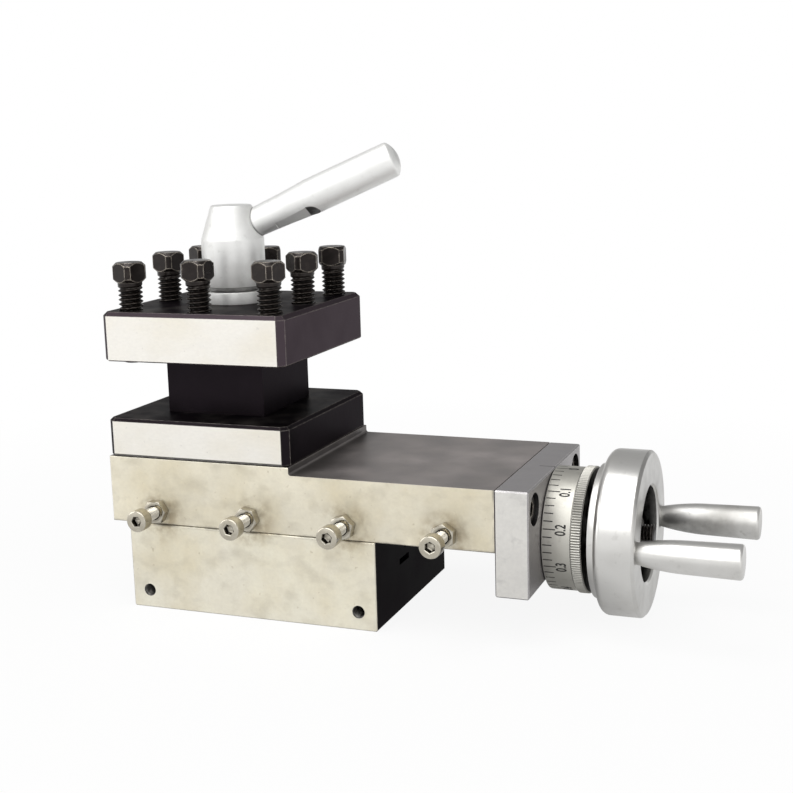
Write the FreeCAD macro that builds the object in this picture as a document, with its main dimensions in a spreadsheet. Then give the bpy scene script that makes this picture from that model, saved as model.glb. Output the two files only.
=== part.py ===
import FreeCAD, Part
import math
import os
import re
import Sketcher

# A four-way lathe tool turret on its compound slide, in millimetres.
# X runs along the slide towards the handwheel, Y runs to the back, Z is up.
# The origin is the centre of the base block's underside.

SIZES = {
    # base block with its male dovetail way
    "base_length": 87.3,
    "base_height": 29,
    "edge_break": 0.4,
    "seat_clearance": 0.5,
    "hole_clearance": 0.3,
    "tap_runout": 1.5,
    "cutter_overrun": 1,
    "way_top": 38,
    "way_height": 8,
    "way_angle": 60,
    "channel_width": 14,
    "channel_depth": 9,
    "front_hole_diameter": 4.2,
    "front_hole_inset": 6.2,
    "front_hole_rise": 6,
    "front_hole_depth": 12,
    "foot_hole_diameter": 5,
    "foot_hole_depth": 14,
    "foot_spacing_x": 56,
    "foot_spacing_y": 48,
    "notch_width": 8.5,
    "notch_height": 2,
    "notch_depth": 2,
    "notch_offset": 7.5,
    "notch_drop": 12.6,
    # top slide with its raised pad, gib and gib screws
    "slide_length": 132,
    "slide_width": 65,
    "slide_thickness": 19.5,
    "slide_setback": 6.2,
    "pad_height": 2.5,
    "pad_fillet": 0.8,
    "gib_thickness": 3,
    "gib_end_gap": 0.5,
    "gib_floor_gap": 0.3,
    "way_clearance": 0.03,
    "roof_clearance": 0.5,
    "gib_screw_inset": 17.5,
    "gib_screw_pitch": 33,
    "gib_screw_height": 4.7,
    "gib_screw_diameter": 4,
    "gib_screw_reach": 10,
    "gib_head_diameter": 7,
    "gib_head_height": 4,
    "gib_socket": 3,
    "gib_socket_depth": 2.2,
    "gib_point_radius": 0.3,
    "lock_nut_flats": 7,
    "lock_nut_thickness": 3.2,
    "nut_corner_ratio": 0.045,
    # end bracket that carries the spindle
    "bracket_thickness": 10.5,
    "bracket_height": 33.2,
    "bush_diameter": 12,
    "bush_flange_diameter": 17,
    "bush_flange_thickness": 0.8,
    "bracket_screw_diameter": 5,
    "bracket_screw_spacing": 51,
    "bracket_screw_height": 12.6,
    "bracket_screw_bite": 12,
    "counterbore_diameter": 10,
    "counterbore_depth": 6,
    "cap_head_diameter": 8.5,
    "cap_head_height": 5,
    "cap_socket": 4,
    "cap_socket_depth": 2.6,
    # leadscrew, its nut and collar
    "spindle_diameter": 8,
    "running_clearance": 0.05,
    "thread_clearance": 0.05,
    "thread_length": 71.8,
    "collar_diameter": 14,
    "collar_width": 3.9,
    "thrust_gap": 0.1,
    "spindle_end_diameter": 6,
    "spindle_end_proud": 1.5,
    "spindle_end_chamfer": 0.6,
    "spindle_start_chamfer": 1,
    "shoulder_gap": 0.3,
    "nut_length": 14,
    "nut_inset": 3.5,
    "nut_rise": 6.5,
    "nut_screw_diameter": 4,
    "nut_screw_head": 7,
    "nut_screw_head_height": 4,
    "nut_screw_sink": 0.6,
    "nut_screw_tip_gap": 0.9,
    # dial and handwheel
    "dial_gap": 0.3,
    "dial_radius": 19.5,
    "dial_band": 9,
    "dial_chamfer": 0.3,
    "knurl_radius": 20,
    "knurl_width": 3.3,
    "ring_gap": 2,
    "ring_radius": 21.2,
    "ring_width": 2.5,
    "boss_radius": 12,
    "boss_gap": 0.2,
    "boss_shoulder": 14,
    "wheel_radius": 26,
    "wheel_width": 12.7,
    "wheel_rear_round": 2.4,
    "wheel_front_break": 0.8,
    "recess_radius": 15,
    "recess_depth": 9,
    "key_width": 3,
    "key_length": 9,
    "key_offset": 1,
    "dial_spring_thickness": 0.4,
    "dial_spring_width": 5,
    "dial_spring_span": 12,
    "dial_spring_bow": 1.4,
    "dial_spring_gap": 0.35,
    "dial_spring_side_gap": 0.3,
    "wheel_washer_diameter": 13,
    "wheel_washer_thickness": 1.2,
    "wheel_nut_flats": 10,
    "wheel_nut_thickness": 5,
    # handles of the handwheel
    "handle_circle": 20.5,
    "handle_root_radius": 3.3,
    "handle_neck_length": 14,
    "handle_neck_radius": 5,
    "handle_length": 31,
    "handle_end_radius": 5.3,
    "handle_belly": 70,
    "handle_end_round": 1,
    "handle_spigot_radius": 2,
    "handle_spigot_length": 9,
    # turret block and its clamping screws
    "corner_chamfer": 2.2,
    "lower_plate": 12.7,
    "lower_bevel": 1,
    "tool_gap": 18.9,
    "upper_plate": 16,
    "upper_bevel": 1.3,
    "under_break": 0.4,
    "neck_side": 35,
    "detent_circle": 22,
    "detent_ball": 5,
    "detent_spot": 3.6,
    "detent_spot_depth": 0.8,
    "detent_ball_drop": 0.1,
    "detent_pit_depth": 12,
    "detent_clearance": 0.1,
    "detent_spring_wire": 0.6,
    "detent_spring_folds": 5,
    "detent_spring_gap": 0.05,
    "tool_screw_inset": 7.5,
    "tool_screw_diameter": 8,
    "tool_screw_length": 26,
    "tool_head_flats": 8.75,
    "tool_head_corners": 10.6,
    "tool_head_height": 6.5,
    "tool_head_slope": 1,
    "tool_tip_chamfer": 0.8,
    # stud, washer, hub and lever
    "stud_diameter": 12,
    "stud_top_gap": 1,
    "stud_chamfer": 0.8,
    "stud_seat": 11.5,
    "washer_radius": 10.6,
    "washer_clearance": 0.25,
    "washer_thickness": 4,
    "washer_break": 0.3,
    "hub_gap": 0.1,
    "hub_groove_radius": 8.6,
    "hub_groove_height": 1.6,
    "hub_radius": 10.45,
    "hub_body_height": 15.4,
    "hub_cone_height": 11.1,
    "hub_top_radius": 6.9,
    "hub_top_round": 0.5,
    "hub_bore_depth": 15.6,
    "lever_swing_angle": 18,
    "lever_rise_angle": 23.1,
    "lever_height": 18.72,
    "lever_spigot_radius": 4,
    "lever_spigot_start": 3.5,
    "lever_root_start": 5,
    "lever_root_radius": 5,
    "lever_taper_start": 19,
    "lever_taper_radius": 5.3,
    "lever_bar_start": 29,
    "lever_bar_radius": 6,
    "lever_bar_end": 58.5,
    "lever_dome": 2.3,
    "lever_flat_half": 4.6,
    "lever_flat_start": 15,
    "lever_flat_end": 26,
    "lever_cutter_radius": 7,
    "lever_flat_angle": 27,
}

# Places worked out from the sizes above, each by its name.
PLACES = {
    "base_width": "slide_width",
    "pad_length": "slide_width",
    "turret_side": "slide_width",
    "parting": "base_height",
    "way_foot": "way_top / 2 - way_height / tan(way_angle)",
    "roof": "way_height + roof_clearance",
    "gib_span": "gib_thickness / sin(way_angle)",
    "flank_foot": "way_foot + way_clearance",
    "flank_roof": "flank_foot + roof / tan(way_angle)",
    "slide_left": "-base_length / 2 - slide_setback",
    "slide_right": "slide_left + slide_length",
    "slide_front": "-slide_width / 2",
    "pad_top": "parting + slide_thickness + pad_height",
    "bracket_right": "slide_right + bracket_thickness",
    "bracket_top": "parting + slide_thickness",
    "shaft": "spindle_diameter / 2",
    "collar_right": "slide_right - thrust_gap",
    "collar_left": "collar_right - collar_width",
    "screw_left": "collar_left - thread_length",
    "nut_right": "base_length / 2 - nut_inset",
    "nut_left": "nut_right - nut_length",
    "nut_middle": "nut_right - nut_length / 2",
    "nut_seat": "nut_screw_head_height + nut_screw_sink",
    "dial_left": "bracket_right + dial_gap",
    "knurl_left": "dial_left + dial_band",
    "dial_right": "knurl_left + knurl_width",
    "ring_left": "dial_right + ring_gap",
    "rim_left": "ring_left + ring_width",
    "rim_right": "rim_left + wheel_width",
    "recess_floor": "rim_right - recess_depth",
    "boss_left": "bracket_right + bush_flange_thickness + boss_gap",
    "key_left": "boss_left + key_offset",
    "key_middle": "key_left + key_length / 2",
    "turret_x": "slide_left + pad_length / 2",
    "neck_foot": "lower_plate",
    "neck_head": "lower_plate + tool_gap",
    "block_top": "lower_plate + tool_gap + upper_plate",
    "turret_top": "pad_top + block_top",
    "washer_top": "turret_top + washer_thickness",
    "hub_bottom": "washer_top + hub_gap",
    "hub_skirt": "hub_groove_height + hub_body_height",
    "hub_top": "hub_skirt + hub_cone_height",
    "screw_grid": "turret_side / 2 - tool_screw_inset",
    "gib_flank": "flank_foot + gib_span + gib_screw_height / tan(way_angle)",
    "spring_flat": "boss_radius - dial_spring_gap - dial_spring_bow",
    "spring_rise": "dial_spring_bow + dial_spring_thickness",
    "spring_half_span": "dial_spring_span / 2",
    "spring_radius": "spring_half_span * spring_half_span / (2 * spring_rise) + spring_rise / 2",
}

# The eight clamping screws: column, row, how far it is screwed in, and its turn.
TOOL_SCREWS = [
    (-1, -1, 1.0, 70),
    (0, -1, 0.1, 86),
    (1, -1, 0.2, 74),
    (1, 0, -0.3, 54),
    (1, 1, 0.0, 15),
    (0, 1, 0.3, 35),
    (-1, 1, 0.2, 60),
    (-1, 0, 0.0, 76),
]

# How far each gib lock nut is turned from one corner up.
LOCK_NUT_TURNS = ["4", "-9", "17", "28"]

document = FreeCAD.newDocument("lathe_tool_turret")
sheet = document.addObject("Spreadsheet::Sheet", "sizes")
for row, (alias, number) in enumerate(SIZES.items(), 1):
    sheet.set(f"A{row}", alias.replace("_", " "))
    sheet.set(f"B{row}", str(number))
    sheet.setAlias(f"B{row}", alias)
document.recompute()

NODES = []


def linked(text):
    """An expression with every size and place in it turned into sheet cells."""

    def swap(found):
        word = found.group(0)
        if word in PLACES:
            return "(" + linked(PLACES[word]) + ")"
        if word in SIZES:
            return "sizes." + word
        return word

    return re.sub(r"[a-z][a-z_]*", swap, str(text))


def value(text):
    """The present value of an expression."""
    number = sheet.evalExpression(linked(text))
    return float(getattr(number, "Value", number))


def tie(thing, **properties):
    """Bind properties of a document object to expressions; __ in a name stands for a dot."""
    for name, text in properties.items():
        thing.setExpression(name.replace("__", "."), linked(text))
    return thing


def put(thing, x="0", y="0", z="0"):
    """Bind a document object's position."""
    return tie(thing, Placement__Base__x=x, Placement__Base__y=y, Placement__Base__z=z)


def turned(thing, axis, degrees):
    """Turn a document object about one axis through its own origin."""
    turn = FreeCAD.Rotation(FreeCAD.Vector(*axis), value(degrees))
    thing.Placement = FreeCAD.Placement(thing.Placement.Base, turn)
    return tie(thing, Placement__Rotation__Angle=degrees)


def node(thing):
    """Mark an object as one of the sub-parts that are written out."""
    NODES.append(thing)
    return thing


def part(kind, name, place=("0", "0", "0"), **properties):
    """A primitive solid with its sizes and place bound to the sheet."""
    solid = document.addObject("Part::" + kind, name)
    tie(solid, **properties)
    return put(solid, *place)


def fused(name, *pieces):
    whole = document.addObject("Part::MultiFuse", name)
    whole.Shapes = list(pieces)
    whole.Refine = True
    return whole


def cut(name, base, tool):
    left = document.addObject("Part::Cut", name)
    left.Base = base
    left.Tool = tool
    return left


def common(name, *pieces):
    shared = document.addObject("Part::MultiCommon", name)
    shared.Shapes = list(pieces)
    return shared


def group(name, pieces):
    """Like fasteners that share one node as separate solids."""
    several = document.addObject("Part::Compound", name)
    several.Links = list(pieces)
    return several


def body(name, x="0", y="0", z="0"):
    return put(document.addObject("PartDesign::Body", name), x, y, z)


def sketch_on(owner, name, role, offset="0", turn="0"):
    """An empty sketch on one of the body's own planes, moved along its normal."""
    sketch = owner.newObject("Sketcher::SketchObject", name)
    plane = next(p for p in owner.Origin.OriginFeatures if p.Role == role)
    sketch.AttachmentSupport = [(plane, "")]
    sketch.MapMode = "FlatFace"
    about_normal = FreeCAD.Rotation(FreeCAD.Vector(0, 0, 1), value(turn))
    sketch.AttachmentOffset = FreeCAD.Placement(FreeCAD.Vector(), about_normal)
    if turn != "0":
        tie(sketch, AttachmentOffset__Rotation__Angle=turn)
    return tie(sketch, AttachmentOffset__Base__z=offset)


def fix_point(sketch, geometry, position, u, v):
    """Hold one point of a sketch at two expressions from the sketch's origin."""
    for direction, text in (("DistanceX", u), ("DistanceY", v)):
        rule = Sketcher.Constraint(direction, -1, 1, geometry, position, value(text))
        index = sketch.addConstraint(rule)
        sketch.setExpression(f"Constraints[{index}]", linked(text))


def outline(owner, name, role, corners, offset="0", turn="0", bends=None):
    """A closed outline; a bend turns the line that leaves a corner into an arc.

    Each bend gives the side it bulges to, seen along the way round, and its radius.
    """
    sketch = sketch_on(owner, name, role, offset, turn)
    bends = bends or {}
    spots = [FreeCAD.Vector(value(u), value(v), 0) for u, v in corners]
    ends = []
    for number, start in enumerate(spots):
        end = spots[(number + 1) % len(spots)]
        if number in bends:
            side = 1 if bends[number][0] == "left" else -1
            radius = value(bends[number][1])
            half = (end - start).Length / 2
            rise = radius - math.sqrt(radius**2 - half**2)
            across = FreeCAD.Vector(start.y - end.y, end.x - start.x, 0).normalize()
            middle = (start + end) / 2 + across * (side * rise)
            line = sketch.addGeometry(Part.Arc(start, middle, end), False)
        else:
            line = sketch.addGeometry(Part.LineSegment(start, end), False)
        forward = sketch.getPoint(line, 1).distanceToPoint(start) < 1e-6
        ends.append((1, 2) if forward else (2, 1))
    for number, (u, v) in enumerate(corners):
        after = (number + 1) % len(corners)
        joint = Sketcher.Constraint("Coincident", number, ends[number][1], after, ends[after][0])
        sketch.addConstraint(joint)
        fix_point(sketch, number, ends[number][0], u, v)
        if number in bends:
            text = bends[number][1]
            index = sketch.addConstraint(Sketcher.Constraint("Radius", number, value(text)))
            sketch.setExpression(f"Constraints[{index}]", linked(text))
    return sketch


def circles(owner, name, role, centres, diameter, offset="0"):
    """One sketch with a circle of the same diameter at each centre."""
    sketch = sketch_on(owner, name, role, offset)
    for number, (u, v) in enumerate(centres):
        middle = FreeCAD.Vector(value(u), value(v), 0)
        ring = Part.Circle(middle, FreeCAD.Vector(0, 0, 1), value(diameter) / 2)
        sketch.addGeometry(ring, False)
        fix_point(sketch, number, 3, u, v)
        rule = Sketcher.Constraint("Diameter", number, value(diameter))
        index = sketch.addConstraint(rule)
        sketch.setExpression(f"Constraints[{index}]", linked(diameter))
    return sketch


def rectangle(owner, name, role, low, high, offset="0"):
    """A rectangle between two opposite corners."""
    (left, bottom), (right, top) = low, high
    corners = [(left, bottom), (right, bottom), (right, top), (left, top)]
    return outline(owner, name, role, corners, offset)


def pad(owner, name, sketch, length):
    feature = owner.newObject("PartDesign::Pad", name)
    feature.Profile = sketch
    return tie(feature, Length=length)


def pocket(owner, name, sketch, depth, upwards=False):
    """Cut a sketch's outline against its normal, or along it, and see that it cut."""
    document.recompute()
    before = owner.Shape.Volume
    feature = owner.newObject("PartDesign::Pocket", name)
    feature.Profile = sketch
    feature.Reversed = upwards
    tie(feature, Length=depth)
    document.recompute()
    if owner.Shape.Volume > before - 1e-3:
        raise RuntimeError(f"{name} cuts nothing")
    return feature


def revolve(owner, name, sketch, axis):
    """Turn a profile about a sketch axis: H_Axis is the sketch's x, V_Axis its y."""
    feature = owner.newObject("PartDesign::Revolution", name)
    feature.Profile = sketch
    feature.ReferenceAxis = (sketch, [axis])
    feature.Angle = 360
    return feature


def edges_where(owner, test):
    """The names of the edges of a body whose middle point passes a test."""
    document.recompute()
    names = []
    for number, edge in enumerate(owner.Tip.Shape.Edges, 1):
        middle = edge.valueAt((edge.FirstParameter + edge.LastParameter) / 2)
        if test(middle, edge):
            names.append(f"Edge{number}")
    if not names:
        raise RuntimeError(f"no edge of {owner.Label} passes the test")
    return names


def dress(owner, name, kind, size, test):
    """A chamfer or fillet on the edges that pass a test."""
    tip = owner.Tip
    names = edges_where(owner, test)
    feature = owner.newObject("PartDesign::" + kind, name)
    feature.Base = (tip, names)
    if kind == "Fillet":
        return tie(feature, Radius=size)
    return tie(feature, Size=size)


def near(one, other):
    return abs(one - other) < 1e-3


def upright(edge):
    """True for a straight edge that runs along Z."""
    box = edge.BoundBox
    return box.ZLength > 1e-3 and box.XLength < 1e-3 and box.YLength < 1e-3


# Base block: a solid block with a split male dovetail on top, which the leadscrew runs through.


def make_base():
    block = node(body("base_block"))
    half = "base_width / 2"
    crest = "parting + way_height"
    floor = "parting - channel_depth"
    profile = [
        (f"-{half}", "0"),
        (half, "0"),
        (half, "parting"),
        ("way_foot", "parting"),
        ("way_top / 2", crest),
        ("channel_width / 2", crest),
        ("channel_width / 2", floor),
        ("-channel_width / 2", floor),
        ("-channel_width / 2", crest),
        ("-way_top / 2", crest),
        ("-way_foot", "parting"),
        (f"-{half}", "parting"),
    ]
    section = outline(block, "base_section", "YZ_Plane", profile, "-base_length / 2")
    pad(block, "base_bar", section, "base_length")
    inset = "base_length / 2 - front_hole_inset"
    taps = [(f"-({inset})", "front_hole_rise"), (inset, "front_hole_rise")]
    front = circles(block, "front_taps", "XZ_Plane", taps, "front_hole_diameter", half)
    pocket(block, "front_tapped_holes", front, "front_hole_depth")
    feet = [
        (f"{x} * foot_spacing_x / 2", f"{y} * foot_spacing_y / 2")
        for x in (-1, 1)
        for y in (-1, 1)
    ]
    under = circles(block, "foot_taps", "XY_Plane", feet, "foot_hole_diameter")
    pocket(block, "foot_tapped_holes", under, "foot_hole_depth", upwards=True)
    middle = [("nut_middle", "0")]
    seat = circles(block, "nut_screw_seat", "XY_Plane", middle, "nut_screw_head + seat_clearance")
    pocket(block, "nut_screw_counterbore", seat, "nut_seat", upwards=True)
    way = circles(block, "nut_screw_way", "XY_Plane", middle, "nut_screw_diameter + hole_clearance")
    pocket(block, "nut_screw_hole", way, "parting", upwards=True)
    mark = rectangle(
        block,
        "end_notch_mark",
        "YZ_Plane",
        ("-notch_offset - notch_width / 2", "parting - notch_drop - notch_height / 2"),
        ("-notch_offset + notch_width / 2", "parting - notch_drop + notch_height / 2"),
        "base_length / 2",
    )
    pocket(block, "end_notch", mark, "notch_depth")
    wide = value("base_width / 2")
    long = value("base_length / 2")
    top = value("parting")

    def outer(point, edge):
        side = near(abs(point.y), wide)
        end = near(abs(point.x), long)
        level = near(point.z, 0) or near(point.z, top)
        return (side and (end or level)) or (end and near(point.z, 0))

    dress(block, "base_edges", "Chamfer", "edge_break", outer)


# Top slide: female dovetail below, a raised pad for the turret above.


def make_slide():
    slide = node(body("top_slide", z="parting"))
    half = "slide_width / 2"
    profile = [
        (f"-{half}", "0"),
        ("-(flank_foot + gib_span)", "0"),
        ("-(flank_roof + gib_span)", "roof"),
        ("flank_roof", "roof"),
        ("flank_foot", "0"),
        (half, "0"),
        (half, "slide_thickness"),
        (f"-{half}", "slide_thickness"),
    ]
    section = outline(slide, "slide_section", "YZ_Plane", profile, "slide_left")
    pad(slide, "slide_bar", section, "slide_length")
    raised = rectangle(
        slide,
        "pad_outline",
        "XY_Plane",
        ("slide_left", f"-{half}"),
        ("slide_left + pad_length", half),
        "slide_thickness",
    )
    pad(slide, "raised_pad", raised, "pad_height")
    wide = value(half)
    ends = (value("slide_left"), value("slide_right"))
    step = value("slide_left + pad_length")
    low, high = value("slide_thickness"), value("slide_thickness + pad_height")

    def step_corner(point, edge):
        return near(point.x, step) and near(point.z, low) and near(point.y, 0)

    dress(slide, "pad_step", "Fillet", "pad_fillet", step_corner)
    bore = circles(slide, "stud_mark", "XY_Plane", [("turret_x", "0")], "stud_diameter", "roof")
    pocket(slide, "stud_hole", bore, "slide_thickness + pad_height - roof", upwards=True)
    spot = [("turret_x + detent_circle", "0")]
    crown = "slide_thickness + pad_height"
    pit = circles(slide, "detent_mark", "XY_Plane", spot, "detent_ball + detent_clearance", crown)
    pocket(slide, "detent_pit", pit, "detent_pit_depth")
    places = [(gib_screw_x(number), "gib_screw_height") for number in range(4)]
    taps = circles(slide, "gib_taps", "XZ_Plane", places, "gib_screw_diameter", half)
    pocket(slide, "gib_tapped_holes", taps, "slide_width / 2 - way_foot")
    screws = [(f"{side} * bracket_screw_spacing / 2", "bracket_screw_height") for side in (-1, 1)]
    right = circles(slide, "bracket_taps", "YZ_Plane", screws, "bracket_screw_diameter", "slide_right")
    pocket(slide, "bracket_tapped_holes", right, "bracket_screw_bite + tap_runout")

    def outer(point, edge):
        side = near(abs(point.y), wide)
        end = near(point.x, ends[0])
        if upright(edge) or near(edge.BoundBox.XLength, 0) and near(edge.BoundBox.YLength, 0):
            return side and end
        return side and near(point.z, 0)

    dress(slide, "slide_edges", "Chamfer", "edge_break", outer)
    crown_edge = value(crown)

    def pad_rim(point, edge):
        rim = abs(point.y) > wide - 0.5 or point.x < ends[0] + 0.5 or near(point.x, step)
        return near(point.z, crown_edge) and rim

    dress(slide, "pad_rim", "Chamfer", "edge_break / 2", pad_rim)


def gib_screw_x(number):
    return f"slide_left + gib_screw_inset + {number} * gib_screw_pitch"


def make_gib():
    """A slanted strip between the slide's front flank and the base's dovetail."""
    strip = node(body("gib_strip", z="parting"))
    inner_low = "flank_foot + gib_floor_gap / tan(way_angle)"
    inner_high = "flank_foot + way_height / tan(way_angle)"
    profile = [
        (f"-({inner_low} + gib_span)", "gib_floor_gap"),
        (f"-({inner_low})", "gib_floor_gap"),
        (f"-({inner_high})", "way_height"),
        (f"-({inner_high} + gib_span)", "way_height"),
    ]
    section = outline(strip, "gib_section", "YZ_Plane", profile, "slide_left + gib_end_gap")
    pad(strip, "gib_bar", section, "slide_length - 2 * gib_end_gap")


def cap_screw(name, place, diameter, length, head, head_height, socket, socket_depth, tip="0"):
    """A socket cap screw along Z: its head's underside is at the place, its tip below."""
    x, y, z = place
    shank = part(
        "Cylinder",
        name + "_shank",
        (x, y, f"{z} - ({length})"),
        Radius=f"({diameter}) / 2",
        Height=length,
    )
    crown = part("Cylinder", name + "_head", place, Radius=f"({head}) / 2", Height=head_height)
    pieces = [shank, crown]
    if tip != "0":
        point = part(
            "Cone",
            name + "_point",
            (x, y, f"{z} - ({length}) - ({tip})"),
            Radius1="gib_point_radius",
            Radius2=f"({diameter}) / 2",
            Height=tip,
        )
        pieces.append(point)
    key = part(
        "Prism",
        name + "_socket",
        (x, y, f"{z} + ({head_height}) - ({socket_depth})"),
        Circumradius=f"({socket}) / 2 / cos(30)",
        Height=f"({socket_depth}) + cutter_overrun",
    )
    key.Polygon = 6
    whole = fused(name + "_blank", *pieces)
    return cut(name, whole, key)


def laid(name, source, x, y, z, axis, degrees, spin="0"):
    """A piece made upright at the origin, spun on its own axis, laid over and put in place."""
    link = document.addObject("Part::Compound", name + "_spun" if spin != "0" else name)
    link.Links = [source]
    if spin != "0":
        spun = turned(link, (0, 0, 1), spin)
        link = document.addObject("Part::Compound", name)
        link.Links = [spun]
    return put(turned(link, axis, degrees), x, y, z)


def make_gib_screws():
    """Four cap screws with lock nuts along the front; their cone points press the gib."""
    screws, nuts = [], []
    reach = "gib_screw_reach + slide_width / 2 - gib_flank"
    point = "gib_screw_diameter / 2"
    for number, turn in enumerate(LOCK_NUT_TURNS):
        screw = cap_screw(
            f"gib_screw_{number + 1}_upright",
            ("0", "0", "0"),
            "gib_screw_diameter",
            f"{reach} - {point}",
            "gib_head_diameter",
            "gib_head_height",
            "gib_socket",
            "gib_socket_depth",
            point,
        )
        x = gib_screw_x(number)
        z = "parting + gib_screw_height"
        head_y = "slide_front - gib_screw_reach"
        screws.append(laid(f"gib_screw_{number + 1}", screw, x, head_y, z, (1, 0, 0), "90", turn))
        bore = "gib_screw_diameter"
        nut = hex_nut(f"lock_nut_{number + 1}", "lock_nut_flats", "lock_nut_thickness", bore)
        nuts.append(laid(f"gib_nut_{number + 1}", nut, x, "slide_front", z, (1, 0, 0), "90", turn))
    node(group("gib_screws", screws))
    node(group("gib_lock_nuts", nuts))


def hex_nut(name, flats, thickness, bore):
    """A hexagon nut standing on the origin, its corners turned down at both ends."""
    corners = f"({flats}) / 2 / cos(30)"
    slope = f"({flats}) * nut_corner_ratio"
    block = part("Prism", name + "_hexagon", Circumradius=corners, Height=thickness)
    block.Polygon = 6
    low = part("Cone", name + "_low", Radius1=f"({flats}) / 2", Radius2=corners, Height=slope)
    middle = part(
        "Cylinder",
        name + "_middle",
        ("0", "0", slope),
        Radius=corners,
        Height=f"({thickness}) - 2 * {slope}",
    )
    high = part(
        "Cone",
        name + "_high",
        ("0", "0", f"({thickness}) - {slope}"),
        Radius1=corners,
        Radius2=f"({flats}) / 2",
        Height=slope,
    )
    turned_blank = fused(name + "_turned", low, middle, high)
    blank = common(name + "_blank", block, turned_blank)
    hole = part("Cylinder", name + "_hole", Radius=f"({bore}) / 2", Height=thickness)
    return cut(name, blank, hole)


# End bracket: a plate across the slide's right end that carries the spindle in a bush.


def make_bracket():
    bracket = node(body("end_bracket"))
    half = "slide_width / 2"
    plate = rectangle(
        bracket,
        "bracket_outline",
        "YZ_Plane",
        (f"-{half}", "bracket_top - bracket_height"),
        (half, "bracket_top"),
        "slide_right",
    )
    pad(bracket, "bracket_plate", plate, "bracket_thickness")
    face = "bracket_right"
    bore = circles(bracket, "bush_mark", "YZ_Plane", [("0", "parting")], "bush_diameter", face)
    pocket(bracket, "bush_bore", bore, "bracket_thickness")
    spots = [
        (f"{side} * bracket_screw_spacing / 2", "parting + bracket_screw_height")
        for side in (-1, 1)
    ]
    seats = circles(bracket, "seat_marks", "YZ_Plane", spots, "counterbore_diameter", face)
    pocket(bracket, "counterbores", seats, "counterbore_depth")
    clear = "bracket_screw_diameter + hole_clearance"
    ways = circles(bracket, "way_marks", "YZ_Plane", spots, clear, face)
    pocket(bracket, "screw_ways", ways, "bracket_thickness")
    wide = value(half)
    low, high = value("bracket_top - bracket_height"), value("bracket_top")
    ends = (value("slide_right"), value(face))

    def rim(point, edge):
        side = near(abs(point.y), wide)
        level = near(point.z, low) or near(point.z, high)
        end = near(point.x, ends[0]) or near(point.x, ends[1])
        return (side and level) or (side and end) or (level and end)

    dress(bracket, "bracket_edges", "Chamfer", "edge_break", rim)
    bush = node(body("bearing_bush", z="parting"))
    inner = "shaft + running_clearance"
    flange = "bracket_right + bush_flange_thickness"
    profile = [
        ("slide_right", inner),
        (flange, inner),
        (flange, "bush_flange_diameter / 2"),
        ("bracket_right", "bush_flange_diameter / 2"),
        ("bracket_right", "bush_diameter / 2"),
        ("slide_right", "bush_diameter / 2"),
    ]
    revolve(bush, "bush_turned", outline(bush, "bush_section", "XZ_Plane", profile), "H_Axis")
    screws = []
    for side in (-1, 1):
        upright_screw = cap_screw(
            f"bracket_screw_{'front' if side < 0 else 'rear'}_upright",
            ("0", "0", "0"),
            "bracket_screw_diameter",
            "bracket_screw_bite + bracket_thickness - counterbore_depth",
            "cap_head_diameter",
            "cap_head_height",
            "cap_socket",
            "cap_socket_depth",
        )
        name = f"bracket_screw_{'front' if side < 0 else 'rear'}"
        y = f"{side} * bracket_screw_spacing / 2"
        z = "parting + bracket_screw_height"
        x = "bracket_right - counterbore_depth"
        screws.append(laid(name, upright_screw, x, y, z, (0, 1, 0), "90", f"{15 * side}"))
    node(group("bracket_screws", screws))


# Leadscrew and nut: one millimetre of slide travel for each turn of the handwheel.


def make_leadscrew():
    screw = node(body("leadscrew", z="parting"))
    end = "spindle_end_diameter / 2"
    shoulder = "recess_floor - shoulder_gap"
    tip = "rim_right + spindle_end_proud"
    profile = [
        ("screw_left", "0"),
        ("screw_left", "shaft - spindle_start_chamfer"),
        ("screw_left + spindle_start_chamfer", "shaft"),
        ("collar_left", "shaft"),
        ("collar_left", "collar_diameter / 2"),
        ("collar_right", "collar_diameter / 2"),
        ("collar_right", "shaft"),
        (shoulder, "shaft"),
        (shoulder, end),
        (f"{tip} - spindle_end_chamfer", end),
        (tip, f"{end} - spindle_end_chamfer"),
        (tip, "0"),
    ]
    section = outline(screw, "leadscrew_section", "XZ_Plane", profile)
    revolve(screw, "leadscrew_turned", section, "H_Axis")
    seat = rectangle(
        screw,
        "keyseat_mark",
        "XY_Plane",
        ("key_left", "-key_width / 2"),
        ("key_left + key_length", "key_width / 2"),
        "shaft - key_width / 2",
    )
    pocket(screw, "keyseat", seat, "key_width", upwards=True)
    key = part(
        "Box",
        "wheel_key",
        ("key_left", "-key_width / 2", "parting + shaft - key_width / 2"),
        Length="key_length",
        Width="key_width",
        Height="key_width",
    )
    node(key)


def make_nut():
    block = part(
        "Box",
        "nut_blank",
        ("nut_left", "thread_clearance - channel_width / 2", "parting - channel_depth"),
        Length="nut_length",
        Width="channel_width - 2 * thread_clearance",
        Height="channel_depth + nut_rise",
    )
    bore = part(
        "Cylinder",
        "nut_bore",
        ("nut_left", "0", "parting"),
        Radius="shaft + thread_clearance",
        Height="nut_length",
    )
    turned(bore, (0, 1, 0), "90")
    tap_top = "parting - shaft - thread_clearance"
    tap = part(
        "Cylinder",
        "nut_tap",
        ("nut_middle", "0", "parting - channel_depth"),
        Radius="nut_screw_diameter / 2",
        Height="channel_depth - shaft",
    )
    node(cut("leadscrew_nut", cut("nut_bored", block, bore), tap))
    length = f"{tap_top} - nut_screw_tip_gap - nut_seat"
    screw = cap_screw(
        "nut_screw_upright",
        ("0", "0", "0"),
        "nut_screw_diameter",
        length,
        "nut_screw_head",
        "nut_screw_head_height",
        "gib_socket",
        "gib_socket_depth",
    )
    node(laid("nut_screw", screw, "nut_middle", "0", "nut_seat", (1, 0, 0), "180"))


# Dial and handwheel: turned parts on the spindle axis.


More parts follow.
